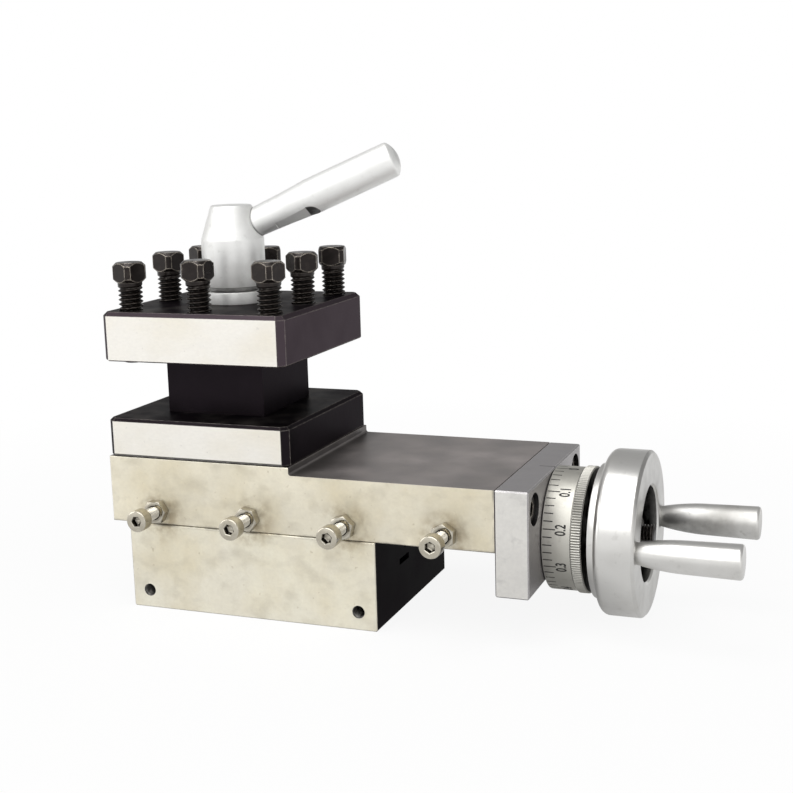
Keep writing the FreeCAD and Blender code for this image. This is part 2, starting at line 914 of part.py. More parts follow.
def make_wheel():
    wheel = node(body("handwheel", z="parting"))
    rim, rear, front = "wheel_radius", "wheel_rear_round", "wheel_front_break"
    profile = [
        ("boss_left", "shaft"),
        ("recess_floor", "shaft"),
        ("recess_floor", "recess_radius"),
        (f"rim_right - {front}", "recess_radius"),
        ("rim_right", f"recess_radius + {front}"),
        ("rim_right", f"{rim} - {front}"),
        (f"rim_right - {front}", rim),
        (f"rim_left + {rear}", rim),
        ("rim_left", f"{rim} - {rear}"),
        ("rim_left", "ring_radius"),
        ("ring_left", "ring_radius"),
        ("ring_left", "boss_shoulder"),
        ("dial_right + running_clearance", "boss_shoulder"),
        ("dial_right + running_clearance", "boss_radius"),
        ("boss_left", "boss_radius"),
    ]
    bends = {7: ("right", "wheel_rear_round")}
    section = outline(wheel, "wheel_section", "XZ_Plane", profile, bends=bends)
    revolve(wheel, "wheel_turned", section, "H_Axis")
    spots = [(f"{side} * handle_circle", "0") for side in (-1, 1)]
    ends = circles(wheel, "handle_marks", "YZ_Plane", spots, "2 * handle_spigot_radius", "rim_right")
    pocket(wheel, "handle_holes", ends, "handle_spigot_length")
    way = rectangle(
        wheel,
        "keyway_mark",
        "YZ_Plane",
        ("-key_width / 2", "0"),
        ("key_width / 2", "shaft + key_width / 2"),
        "boss_left",
    )
    pocket(wheel, "keyway", way, "key_offset + key_length", upwards=True)
    middle = "key_middle"
    reach = "(dial_spring_width / 2 + dial_spring_side_gap)"
    flat = rectangle(
        wheel,
        "spring_flat_mark",
        "XZ_Plane",
        (f"{middle} - {reach}", "-boss_radius - cutter_overrun"),
        (f"{middle} + {reach}", "-spring_flat"),
        "-boss_radius",
    )
    pocket(wheel, "spring_flat", flat, "2 * boss_radius", upwards=True)


def make_dial_spring():
    """A bowed leaf in the boss's flat; its crown faces the dial's bore."""
    left = "key_middle - dial_spring_width / 2"
    centre = (left, "0", "parting - boss_radius + dial_spring_gap + spring_radius")
    outer = part("Cylinder", "leaf_outer", centre, Radius="spring_radius", Height="dial_spring_width")
    inner = part(
        "Cylinder",
        "leaf_inner",
        centre,
        Radius="spring_radius - dial_spring_thickness",
        Height="dial_spring_width",
    )
    turned(outer, (0, 1, 0), "90")
    turned(inner, (0, 1, 0), "90")
    window = part(
        "Box",
        "leaf_window",
        (left, "-dial_spring_span / 2", "parting - spring_flat - 2 * spring_rise"),
        Length="dial_spring_width",
        Width="dial_spring_span",
        Height="2 * spring_rise",
    )
    node(common("dial_spring", cut("leaf_ring", outer, inner), window))


def make_dial():
    dial = node(body("dial", z="parting"))
    bore = "boss_radius + running_clearance"
    edge = "dial_chamfer"
    profile = [
        ("dial_left", bore),
        ("dial_right", bore),
        ("dial_right", f"knurl_radius - {edge}"),
        (f"dial_right - {edge}", "knurl_radius"),
        ("knurl_left", "knurl_radius"),
        ("knurl_left", "dial_radius"),
        (f"dial_left + {edge}", "dial_radius"),
        ("dial_left", f"dial_radius - {edge}"),
    ]
    section = outline(dial, "dial_section", "XZ_Plane", profile)
    revolve(dial, "dial_turned", section, "H_Axis")


def make_wheel_fasteners():
    disc = part(
        "Cylinder",
        "wheel_washer_disc",
        Radius="wheel_washer_diameter / 2",
        Height="wheel_washer_thickness",
    )
    hole = part(
        "Cylinder",
        "wheel_washer_hole",
        Radius="spindle_end_diameter / 2",
        Height="wheel_washer_thickness",
    )
    washer = cut("wheel_washer_upright", disc, hole)
    node(laid("wheel_washer", washer, "recess_floor", "0", "parting", (0, 1, 0), "90"))
    nut = hex_nut("wheel_nut_upright", "wheel_nut_flats", "wheel_nut_thickness", "spindle_end_diameter")
    place = "recess_floor + wheel_washer_thickness"
    node(laid("wheel_nut", nut, place, "0", "parting", (0, 1, 0), "90", "12"))


def make_handles():
    """Two turned handles on the outer face of the wheel, opposite each other."""
    round_start = "handle_length - handle_end_round"
    for side, name in ((-1, "wheel_handle_front"), (1, "wheel_handle_rear")):
        handle = node(body(name, "rim_right", f"{side} * handle_circle", "parting"))
        profile = [
            ("-handle_spigot_length", "0"),
            ("-handle_spigot_length", "handle_spigot_radius"),
            ("0", "handle_spigot_radius"),
            ("0", "handle_root_radius"),
            ("handle_neck_length", "handle_neck_radius"),
            (round_start, "handle_end_radius"),
            ("handle_length", "handle_end_radius - handle_end_round"),
            ("handle_length", "0"),
        ]
        bends = {3: ("left", "handle_belly"), 5: ("left", "handle_end_round")}
        section = outline(handle, name + "_section", "XZ_Plane", profile, bends=bends)
        revolve(handle, name + "_turned", section, "H_Axis")


# Turret: a square block with four tool slots round a square neck.


def make_turret():
    block = node(body("turret_block", "turret_x", "0", "pad_top"))
    for name, side, foot, height in (
        ("lower_plate_square", "turret_side", "0", "lower_plate"),
        ("neck_square", "neck_side", "neck_foot", "tool_gap"),
        ("upper_plate_square", "turret_side", "neck_head", "upper_plate"),
    ):
        half = f"{side} / 2"
        square = rectangle(block, name, "XY_Plane", (f"-{half}", f"-{half}"), (half, half), foot)
        pad(block, name.replace("square", "solid"), square, height)
    clear = "stud_diameter + 2 * running_clearance"
    bore = circles(block, "stud_bore_mark", "XY_Plane", [("0", "0")], clear)
    pocket(block, "stud_bore", bore, "block_top", upwards=True)
    grid = [(f"{i} * screw_grid", f"{j} * screw_grid") for i, j, drop, turn in TOOL_SCREWS]
    wide = "tool_screw_diameter + 2 * thread_clearance"
    taps = circles(block, "tool_screw_marks", "XY_Plane", grid, wide, "block_top")
    pocket(block, "tool_screw_holes", taps, "upper_plate")
    ring = "detent_circle"
    spots = [(ring, "0"), ("0", ring), (f"-{ring}", "0"), ("0", f"-{ring}")]
    marks = circles(block, "detent_marks", "XY_Plane", spots, "detent_spot")
    pocket(block, "detent_spots", marks, "detent_spot_depth", upwards=True)
    side = value("turret_side / 2")

    def corner(point, edge):
        return near(abs(point.x), side) and near(abs(point.y), side)

    dress(block, "plate_corners", "Chamfer", "corner_chamfer", corner)
    inner = value("turret_side / 2 - corner_chamfer")

    def rim_at(level):
        height = value(level)

        def test(point, edge):
            outside = abs(point.x) > inner - 0.01 or abs(point.y) > inner - 0.01
            straight = edge.Length > 1.2 * value("corner_chamfer")
            return near(point.z, height) and outside and straight

        return test

    dress(block, "upper_bevel_faces", "Chamfer", "upper_bevel", rim_at("block_top"))
    dress(block, "lower_bevel_faces", "Chamfer", "lower_bevel", rim_at("neck_foot"))
    dress(block, "upper_underside", "Chamfer", "under_break", rim_at("neck_head"))
    dress(block, "lower_underside", "Chamfer", "under_break", rim_at("0"))


def make_tool_screw(number, column, row, drop, turn):
    """A square-headed set screw: the head's corners are turned down at both ends."""
    name = f"tool_screw_{number}"
    length = "tool_screw_length"
    head, flat = "tool_head_height", "tool_head_flats"
    corner = "tool_head_corners / 2"
    slope = "tool_head_slope"
    low = part(
        "Cone",
        name + "_low",
        ("0", "0", length),
        Radius1=f"{flat} / 2",
        Radius2=corner,
        Height=slope,
    )
    middle = part(
        "Cylinder",
        name + "_middle",
        ("0", "0", f"{length} + {slope}"),
        Radius=corner,
        Height=f"{head} - 2 * {slope}",
    )
    high = part(
        "Cone",
        name + "_high",
        ("0", "0", f"{length} + {head} - {slope}"),
        Radius1=corner,
        Radius2=f"{flat} / 2",
        Height=slope,
    )
    square = part(
        "Box",
        name + "_square",
        (f"-{flat} / 2", f"-{flat} / 2", length),
        Length=flat,
        Width=flat,
        Height=head,
    )
    blank = common(name + "_head", fused(name + "_turned", low, middle, high), square)
    radius = "tool_screw_diameter / 2"
    tip = "tool_tip_chamfer"
    point = part("Cone", name + "_point", Radius1=f"{radius} - {tip}", Radius2=radius, Height=tip)
    shank = part(
        "Cylinder",
        name + "_shank",
        ("0", "0", tip),
        Radius=radius,
        Height=f"{length} - {tip}",
    )
    upright_screw = fused(name + "_upright", point, shank, blank)
    x = f"turret_x + {column} * screw_grid"
    y = f"{row} * screw_grid"
    z = f"pad_top + neck_head - {drop}"
    node(laid(name, upright_screw, x, y, z, (0, 0, 1), f"{turn}"))


# Stud, washer, hub and lever: turning the lever screws the hub down on the stud.


def make_clamp():
    stud = node(body("turret_stud", "turret_x", "0", "pad_top"))
    radius, edge = "stud_diameter / 2", "stud_chamfer"
    top = "block_top + washer_thickness + hub_gap + hub_bore_depth - stud_top_gap"
    foot = "-stud_seat"
    profile = [
        ("0", foot),
        (f"{radius} - {edge}", foot),
        (radius, f"{foot} + {edge}"),
        (radius, f"{top} - {edge}"),
        (f"{radius} - {edge}", top),
        ("0", top),
    ]
    revolve(stud, "stud_turned", outline(stud, "stud_section", "XZ_Plane", profile), "V_Axis")
    washer = node(body("thrust_washer", "turret_x", "0", "turret_top"))
    inner, outer, rim = f"{radius} + washer_clearance", "washer_radius", "washer_break"
    high = "washer_thickness"
    profile = [
        (inner, "0"),
        (f"{outer} - {rim}", "0"),
        (outer, rim),
        (outer, f"{high} - {rim}"),
        (f"{outer} - {rim}", high),
        (inner, high),
    ]
    revolve(washer, "washer_turned", outline(washer, "washer_section", "XZ_Plane", profile), "V_Axis")
    make_lever()


def make_lever():
    """Hub and lever are made with the lever towards +X, then both are swung round."""
    blank = hub_outline("hub_blank")
    bored = hub_outline("hub_bored")
    wide = "stud_diameter + 2 * running_clearance"
    hole = circles(bored, "hub_bore_mark", "XY_Plane", [("0", "0")], wide)
    pocket(bored, "hub_bore", hole, "hub_bore_depth", upwards=True)
    lever = lever_bar()
    lean = "90 - lever_rise_angle"
    tilt = "-lever_flat_angle"
    laid_lever = laid("lever_laid", lever, "0", "0", "lever_height", (0, 1, 0), lean, tilt)
    rod = lever_rod("spigot_rod", "lever_spigot_radius", "lever_taper_start")
    nose = lever_rod("spigot_nose", "2 * lever_spigot_radius", "lever_spigot_start")
    spigot = cut("lever_spigot", rod, nose)
    drilled = cut("hub_drilled", bored, spigot)
    seated = cut("lever_seated", laid_lever, blank)
    whole = fused("lever_whole", seated, spigot)
    place = ("turret_x", "0", "hub_bottom")
    node(laid("clamp_hub", drilled, *place, (0, 0, 1), "lever_swing_angle"))
    node(laid("lever_arm", whole, *place, (0, 0, 1), "lever_swing_angle"))


def lever_bar():
    """The lever upright: a turned bar with two flats that run out where the cutter left it."""
    lever = body("lever_bar")
    bar, end = "lever_bar_radius", "lever_bar_end"
    profile = [
        ("0", "lever_root_start"),
        ("lever_root_radius", "lever_root_start"),
        ("lever_root_radius", "hub_radius"),
        ("lever_taper_radius", "lever_taper_start"),
        (bar, "lever_bar_start"),
        (bar, end),
        ("0", f"{end} + lever_dome"),
    ]
    dome = "lever_bar_radius * lever_bar_radius / (2 * lever_dome) + lever_dome / 2"
    section = outline(lever, "lever_section", "XZ_Plane", profile, bends={5: ("right", dome)})
    revolve(lever, "lever_turned", section, "V_Axis")
    half, start, stop = "lever_flat_half", "lever_flat_start", "lever_flat_end"
    out = f"{half} + lever_cutter_radius * (1 - cos(45))"
    lift = f"{stop} + lever_cutter_radius * sin(45)"
    for name, sign, side in (("upper_flat", "-", "right"), ("lower_flat", "", "left")):
        corners = [
            (f"{sign}{half}", start),
            (f"{sign}{half}", stop),
            (f"{sign}({out})", lift),
            (f"{sign}2 * {bar}", lift),
            (f"{sign}2 * {bar}", start),
        ]
        bend = {1: (side, "lever_cutter_radius")}
        mark = outline(lever, name + "_mark", "XZ_Plane", corners, f"2 * {bar}", bends=bend)
        pocket(lever, name, mark, f"4 * {bar}")
    return lever


def lever_rod(name, radius, length):
    """A round rod along the lever's axis, from the hub's own axis outwards."""
    rod = part("Cylinder", name, ("0", "0", "lever_height"), Radius=radius, Height=length)
    return turned(rod, (0, 1, 0), "90 - lever_rise_angle")


def hub_outline(name):
    """The hub's turned form, solid: a skirt over a groove, with a cone on top."""
    hub = body(name)
    soft = "hub_top_round"
    profile = [
        ("0", "0"),
        ("hub_groove_radius", "0"),
        ("hub_groove_radius", "hub_groove_height"),
        ("hub_radius", "hub_groove_height"),
        ("hub_radius", "hub_skirt"),
        ("hub_top_radius", f"hub_top - {soft}"),
        (f"hub_top_radius - {soft}", "hub_top"),
        ("0", "hub_top"),
    ]
    section = outline(hub, name + "_section", "XZ_Plane", profile)
    revolve(hub, name + "_turned", section, "V_Axis")
    return hub


# Index detent: a ball on a spring in the pad, under the turret.


def make_detent():
    x = "turret_x + detent_circle"
    radius = "detent_ball / 2"
    height = f"pad_top - detent_ball_drop - {radius}"
    node(part("Sphere", "index_ball", (x, "0", height), Radius=radius))
    make_detent_spring(x, f"{height} - {radius}")


def make_detent_spring(x, top):
    """A corrugated sleeve stands for the wire coil: its folds are as far apart as the turns."""
    floor = "pad_top - detent_pit_depth"
    spring = node(body("index_spring", x, "0", f"{floor} + detent_spring_gap"))
    folds = round(value("detent_spring_folds"))
    step = f"({top} - ({floor}) - 2 * detent_spring_gap) / (2 * detent_spring_folds)"
    crest = "detent_ball / 2 - detent_clearance"
    outside, inside = [], []
    for level in range(2 * folds + 1):
        groove = f"{level % 2} * detent_spring_wire"
        height = f"{level} * {step}"
        outside.append((f"{crest} - {groove}", height))
        inside.append((f"{crest} - {groove} - detent_spring_wire", height))
    profile = outside + inside[::-1]
    section = outline(spring, "index_spring_section", "XZ_Plane", profile)
    revolve(spring, "index_spring_turned", section, "V_Axis")


def check_and_write():
    """Stop on any failed object or bad shape, then write each sub-part."""
    document.recompute()
    for thing in document.Objects:
        bad = [state for state in thing.State if state in ("Invalid", "Error")]
        if bad:
            raise RuntimeError(f"{thing.Label} is {bad}")
    os.makedirs("parts", exist_ok=True)
    for thing in NODES:
        shape = thing.Shape
        if shape.isNull() or not shape.isValid() or not shape.Solids:
            raise RuntimeError(f"{thing.Label} has no valid solid")
        shape.exportStep(f"parts/{thing.Label}.step")
        print(thing.Label, len(shape.Solids), "solids", round(shape.Volume, 1), "mm3")
    print(len(NODES), "sub-parts")


make_base()
make_slide()
make_gib()
make_gib_screws()
make_bracket()
make_leadscrew()
make_nut()
make_wheel()
make_dial_spring()
make_dial()
make_wheel_fasteners()
make_handles()
make_turret()
for number, (column, row, drop, turn) in enumerate(TOOL_SCREWS, 1):
    make_tool_screw(number, column, row, drop, turn)
make_clamp()
make_detent()
check_and_write()
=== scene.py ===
import math

import bpy
import numpy as np
from bpy.props import FloatProperty, FloatVectorProperty, IntProperty, PointerProperty
from mathutils import Matrix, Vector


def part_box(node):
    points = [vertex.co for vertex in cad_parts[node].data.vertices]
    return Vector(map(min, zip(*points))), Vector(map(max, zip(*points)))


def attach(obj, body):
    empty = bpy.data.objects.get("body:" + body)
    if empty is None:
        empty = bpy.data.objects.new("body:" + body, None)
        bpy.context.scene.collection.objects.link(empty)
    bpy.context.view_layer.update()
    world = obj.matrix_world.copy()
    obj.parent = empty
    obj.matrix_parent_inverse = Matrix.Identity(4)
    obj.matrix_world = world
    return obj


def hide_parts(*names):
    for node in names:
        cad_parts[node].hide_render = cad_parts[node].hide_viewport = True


bl_info = {
    "name": "Lathe tool turret",
    "version": (1, 0, 0),
    "blender": (4, 5, 0),
    "location": "3D View > Sidebar > Turret",
    "description": "Dresses a four-way tool turret on its compound slide",
    "category": "Object",
}

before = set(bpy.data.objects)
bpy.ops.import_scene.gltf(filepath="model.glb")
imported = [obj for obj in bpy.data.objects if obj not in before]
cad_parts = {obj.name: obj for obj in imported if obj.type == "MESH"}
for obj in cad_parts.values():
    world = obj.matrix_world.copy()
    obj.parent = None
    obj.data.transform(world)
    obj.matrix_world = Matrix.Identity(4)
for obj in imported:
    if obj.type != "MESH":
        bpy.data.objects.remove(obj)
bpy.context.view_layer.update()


def middle(node):
    """The middle of a node's box."""
    low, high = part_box(node)
    return (low + high) / 2


MM = 0.001
SHAFT_Z = middle("handwheel").z
TURRET_X = middle("turret_block").x
TURRET_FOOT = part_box("turret_block")[0].z
# The pad under the turret is as wide as the turret.
PAD_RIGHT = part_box("turret_block")[1].x
# Over this height the turret is its upper plate.
UPPER_PLATE = 82 * MM
SLIDE_LEFT, SLIDE_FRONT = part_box("top_slide")[0].xy
SLIDE_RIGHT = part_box("top_slide")[1].x
BASE_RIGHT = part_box("base_block")[1].x

# The gib screws' axes, and how far out the bracket's two screws are.
FIRST_GIB_X = SLIDE_LEFT + 17.5 * MM
GIB_STEP = 33 * MM
GIB_Z = SHAFT_Z + 4.7 * MM
BRACKET_SCREW_Y = 25.5 * MM
BRACKET_SCREW_Z = SHAFT_Z + 12.6 * MM

# The lever's swing to the back, its rise, and how far over the hub's foot the axes meet.
LEVER_SWING = math.radians(18)
LEVER_RISE = math.radians(23.1)
HUB_EYE = 18.72 * MM
# Heights and radii where the hub's cone starts and ends, in millimetres.
HUB_CONE = ((17, 27.75), (10.45, 6.9))

# A place that is too far off to matter.
FAR_OFF = 1000 * MM

# Axes for a piece that is worked out along its own length: across, across, along.
AXES = {
    "X": ((0, 1, 0), (0, 0, 1), (1, 0, 0)),
    "Z": ((1, 0, 0), (0, 1, 0), (0, 0, 1)),
    "-Y": ((1, 0, 0), (0, 0, 1), (0, -1, 0)),
}

CUBE = np.array([(x, y, z) for x in (0, 1) for y in (0, 1) for z in (0, 1)], float)
CUBE_FACES = np.array([
    [0, 1, 3, 2], [4, 6, 7, 5], [0, 4, 5, 1], [2, 3, 7, 6], [0, 2, 6, 4], [1, 5, 7, 3]
])


def linear(code):
    """A hex sRGB colour as linear red, green and blue."""
    parts = np.array([int(code[i:i + 2], 16) for i in (1, 3, 5)]) / 255
    return tuple(np.where(parts <= 0.04045, parts / 12.92, ((parts + 0.055) / 1.055) ** 2.4))


# Sizes and colours that a user may change


def length(name, description, millimetres):
    """A length property with its default in millimetres."""
    return FloatProperty(
        name=name,
        description=description,
        default=millimetres * MM,
        precision=5,
        subtype="DISTANCE",
        unit="LENGTH",
    )


def turn(name, description, degrees):
    """An angle property with its default in degrees."""
    return FloatProperty(
        name=name,
        description=description,
        default=math.radians(degrees),
        subtype="ANGLE",
        unit="ROTATION",
    )


def colour(name, description, code):
    """A colour property with its default as a hex sRGB colour."""
    return FloatVectorProperty(
        name=name,
        description=description,
        default=linear(code),
        size=3,
        min=0.0,
        max=1.0,
        subtype="COLOR",
    )


class TurretThreads(bpy.types.PropertyGroup):
    """Threads that show on the screws."""

    tool_pitch: length("Tool screw pitch", "Rise of a tool screw's thread in one turn", 1.45)
    gib_pitch: length("Gib screw pitch", "Rise of a gib screw's thread in one turn", 0.7)
    lead_pitch: length("Leadscrew pitch", "Rise of the leadscrew's thread in one turn", 1.0)
    stub_pitch: length("Spindle end pitch", "Rise of the thread under the wheel's nut", 1.0)
    hole_pitch: length("Tapped hole pitch", "Rise of the thread in the base's front holes", 0.8)


class TurretDial(bpy.types.PropertyGroup):
    """Marks and knurl of the dial."""

    divisions: IntProperty(name="Divisions", description="Marks round the dial", default=50, min=10)
    long_every: IntProperty(name="Long mark every", description="Each long mark's step", default=5)
    short_mark: length("Short mark", "Length of a short mark", 2.9)
    long_mark: length("Long mark", "Length of a long mark", 3.9)
    mark_width: length("Mark width", "Width of every mark", 0.34)
    figure_height: length("Figure height", "Height of the figures", 3.3)
    figure_middle: length("Figure place", "Where the figures' middle is along the axis", 98.75)
    zero: turn("Zero", "Where the zero mark is, from the front upwards", 86)
    teeth: IntProperty(name="Knurl teeth", description="Ridges of the knurled ring", default=150)
    knurl_depth: length("Knurl depth", "Depth of the knurl", 0.3)


class TurretColours(bpy.types.PropertyGroup):
    """Colours of the finishes."""

    ground: colour("Ground steel", "Ground front and back faces of the turret", "#F3F0E9")
    slide: colour("Ground slide", "Ground front and back faces of the slide", "#EAE4D2")
    base: colour("Ground base", "Ground front and back faces of the base", "#F1ECDC")
    oxide: colour("Black oxide", "Oxide on the turret's other faces", "#1D181C")
    slide_top: colour("Milled top", "Top and ends of the slide", "#908A88")
    bracket: colour("Bracket face", "Front of the end bracket", "#EBE9E4")
    # Darker than the front: partly a duller finish, partly painted shade.
    bracket_side: colour("Bracket sides", "Other faces of the end bracket", "#A9A6A7")
    aluminium: colour("Aluminium", "Handwheel and handles", "#E3E2DF")
    bright: colour("Bright steel", "Hub, lever and washer", "#F3F3F1")
    nickel: colour("Nickel", "Gib screws and lock nuts", "#CEC8B9")
    dial: colour("Dial", "Band of the dial", "#CFCDC5")
    ink: colour("Dial ink", "Marks and figures", "#1B1A19")
    screws: colour("Oxide screws", "Tool screws", "#201A18")
    bronze: colour("Bronze", "Leadscrew nut and bush", "#B08A55")
    # This dark colour is old oil, and also painted shade in roots, recesses, sockets and between parts.
    grime: colour("Grime", "Old oil in roots, recesses and joints", "#14110F")


class TurretStage(bpy.types.PropertyGroup):
    """Camera and light."""

    yaw: turn("Yaw", "How far the camera stands round to the right", 21.2205)
    pitch: turn("Pitch", "How far the camera looks down", 11.1306)
    roll: turn("Roll", "How far the camera leans", -1.5809)
    lens: FloatProperty(name="Lens", description="Focal length in millimetres", default=62.245)
    place: FloatVectorProperty(
        name="Camera place",
        description="Where the camera stands",
        default=(197.979 * MM, -407.941 * MM, 154.714 * MM),
        subtype="TRANSLATION",
        unit="LENGTH",
    )
    key_power: FloatProperty(name="Key light", description="Watts", default=7.0, unit="POWER")
    side_power: FloatProperty(name="Side light", description="Watts", default=3.0, unit="POWER")
    top_power: FloatProperty(name="Top light", description="Watts", default=4.0, unit="POWER")
    fill_power: FloatProperty(name="Fill light", description="Watts", default=1.0, unit="POWER")
    air: FloatProperty(name="Ambient light", description="Strength of the world", default=0.6)
    ceiling: FloatProperty(name="Ceiling", description="Share of light overhead", default=0.75)
    back_wall: FloatProperty(name="Back", description="Share of light high behind", default=0.4)


# Surfaces


def set_out(along, radius, around, origin, axes):
    """Points of a surface round an axis.

    A point lies radius * cos(around) and radius * sin(around) across the axis, and along it.
    along and radius are arrays of rows, or of rows and columns, and around is of columns or both.
    """
    across, other, forward = (np.array(a, float) for a in axes)
    along, radius = (np.reshape(part, (len(part), -1)) for part in (along, radius))
    along, radius, around = np.broadcast_arrays(along, radius, np.atleast_2d(around))
    circle = (radius * np.cos(around))[..., None] * across
    circle = circle + (radius * np.sin(around))[..., None] * other
    return np.array(origin, float) + circle + along[..., None] * forward


def circle_steps(count):
    """Angles of a full circle, without the last, which would repeat the first."""
    return np.arange(count) * (2 * math.pi / count)


def skin(rows, grime, closed=False):
    """Vertices, faces and grime over rows of points that each go round and meet themselves.

    Each row is joined to the next by quads. A row whose points all meet becomes one vertex,
    and closed joins the last row to the first. grime is how dark a point is from old oil and
    painted shade: 0 not at all and 1 black.
    """
    count, width = rows.shape[:2]
    number = np.arange(count * width).reshape(count, width)
    met = np.ptp(rows, axis=1).max(axis=1) < 1e-9
    number[met] = number[met][:, :1]
    if closed:
        number = np.concatenate([number, number[:1]])
    number = np.concatenate([number, number[:, :1]], axis=1)
    corners = (number[:-1, :-1], number[:-1, 1:], number[1:, 1:], number[1:, :-1])
    quads = np.stack(corners, axis=-1).reshape(-1, 4)
    low = quads[:, 0] == quads[:, 1]
    high = quads[:, 2] == quads[:, 3]
    used, place = np.unique(quads, return_inverse=True)
    quads = place.reshape(-1, 4)
    faces = quads[~low & ~high].tolist()
    faces += quads[low & ~high][:, [0, 2, 3]].tolist()
    faces += quads[high & ~low][:, :3].tolist()
    dirt_and_shade = np.broadcast_to(grime, (count, width)).reshape(-1)[used]
    return rows.reshape(-1, 3)[used], faces, dirt_and_shade


def eased(corners, size, steps=4):
    """A profile with its inner corners rounded.

    Each corner becomes a parabola from a point before it to one after it, size away on each
    side, or less where a run is short.
    """
    corners = np.asarray(corners, float)
    back = corners[:-2] - corners[1:-1]
    ahead = corners[2:] - corners[1:-1]
    back_length = np.linalg.norm(back, axis=1, keepdims=True)
    ahead_length = np.linalg.norm(ahead, axis=1, keepdims=True)
    start = corners[1:-1] + back / back_length * np.minimum(size, 0.45 * back_length)
    end = corners[1:-1] + ahead / ahead_length * np.minimum(size, 0.45 * ahead_length)
    t = np.linspace(0, 1, steps)[None, :, None]
    bends = (1 - t) ** 2 * start[:, None] + 2 * t * (1 - t) * corners[1:-1, None]
    bends = (bends + t**2 * end[:, None]).reshape(-1, 2)
    return np.concatenate([corners[:1], bends, corners[-1:]])


def turned(profile, count, origin, axis, closed=False, grime=None):
    """The skin of a profile of (along, radius) pairs in millimetres, carried round an axis.

    grime is a function of along, radius and the angle round the axis.
    """
    profile = np.asarray(profile, float)
    if closed:
        profile = profile[:-1]
    around = circle_steps(count)
    along, radius = profile[:, :1], profile[:, 1:]
    dirt_and_shade = grime(along, radius, around) if grime else 0.0
    return skin(set_out(along * MM, radius * MM, around, origin, AXES[axis]), dirt_and_shade, closed)


def lofted(rows, around, spin, origin, axis, closed=False):
    """The skin of rows of (along, radius, grime), in millimetres, turned on an axis by spin.

    Each of a row's three parts is one number, or one for each angle in around.
    """
    along, radius, dirt_and_shade = (
        np.stack([np.broadcast_to(row[part], around.shape) for row in rows]) for part in range(3)
    )
    return skin(set_out(along * MM, radius * MM, around + spin, origin, AXES[axis]), dirt_and_shade, closed)


def flats(around, half, count):
    """Radius of a regular outline with flat sides: half over the largest cosine to a side."""
    sides = np.arange(count) * (2 * math.pi / count)
    return half / np.cos(around[:, None] - sides[None, :]).max(axis=1)


def wrench_columns(half, corner, count):
    """Angles round a head with wrench flats.

    Each flat reaches as far to each side as the angle whose cosine is half over corner, and the
    angles crowd to there, so that flats and rounded corners meet in a crisp edge.
    """
    reach = math.acos(half / corner)
    step = 2 * math.pi / count
    one = np.concatenate([
        np.linspace(-reach, reach, 9), np.linspace(reach, step - reach, 6)[1:-1]
    ])
    return (np.arange(count)[:, None] * step + one[None, :]).ravel()


def thread_radius(along, around, pitch, crest, depth, start, end):
    """Radius of a right-hand thread.

    A ridge with flat top and bottom follows (along / pitch - around / one turn). It fades in
    after start and out before end over one pitch.
    """
    phase = (along[:, None] / pitch - around[None, :] / (2 * math.pi)) % 1.0
    groove = np.clip(1.3 * np.abs(2 * phase - 1) - 0.15, 0, 1)
    fade = np.clip(np.minimum(along - start, end - along) / pitch, 0, 1)
    return crest - depth * groove * fade[:, None]


def threaded_rod(low, high, pitch, crest, origin, axis, ends, run, count):
    """A rod from low to high along an axis, with a thread where run says.

    ends gives how long the chamfer is at each end. A thread is 0.6 of its pitch deep.
    """
    thread = np.linspace(*run, max(8, int(round((run[1] - run[0]) / pitch * 10))))
    along = np.concatenate([[low + ends[0]], thread, [high - ends[1]]])
    around = circle_steps(count)
    depth, slope = 0.6 * pitch, min(ends)
    radius = thread_radius(along, around, pitch, crest, depth, *run)
    reach = np.minimum(along - low, high - along)[:, None]
    radius = np.minimum(radius, crest - slope + np.clip(reach, 0, slope))
    along = np.concatenate([[low, low], along, [high, high]])
    first, tip, back, last = (
        np.full((1, count), size) for size in (0, crest - ends[0], crest - ends[1], 0)
    )
    radius = np.concatenate([first, tip, radius, back, last])
    keep = np.concatenate([[True], np.diff(along) > 1e-6])
    keep[[1, -1]] = True
    # Old oil and painted shade darken the root.
    dirt_and_shade = np.clip((crest - radius) / depth * 1.3 - 0.3, 0, 1) * 0.9
    dirt_and_shade[[0, 1, -2, -1]] = 0
    rows = set_out(along[keep] * MM, radius[keep] * MM, around, origin, AXES[axis])
    return skin(rows, dirt_and_shade[keep])


def threaded_sleeve(depth, pitch, outer, major, origin, axis):
    """The thread in a tapped hole, as a thin sleeve from the origin to depth along the axis.

    Inside, the radius is the thread's, and outside it is plain. The mouth is countersunk by half
    a millimetre, and painted shade darkens the hole from there inwards.
    """
    count = 40
    around = circle_steps(count)
    along = np.linspace(depth, 0, int(depth / pitch * 9))
    inner = thread_radius(along, around, pitch, major, 0.5 * pitch, 0, depth)
    inner = np.maximum(inner, major - np.clip(depth - along, 0, 0.5)[:, None])
    along = np.concatenate([[0, depth], along])
    radius = np.concatenate([np.full((2, count), outer), inner])
    # Painted shade, darker from the mouth inwards.
    dirt_and_shade = np.clip((depth - along) / 0.8, 0, 1)[:, None] * 0.95
    return skin(set_out(along * MM, radius * MM, around, origin, AXES[axis]), dirt_and_shade, True)


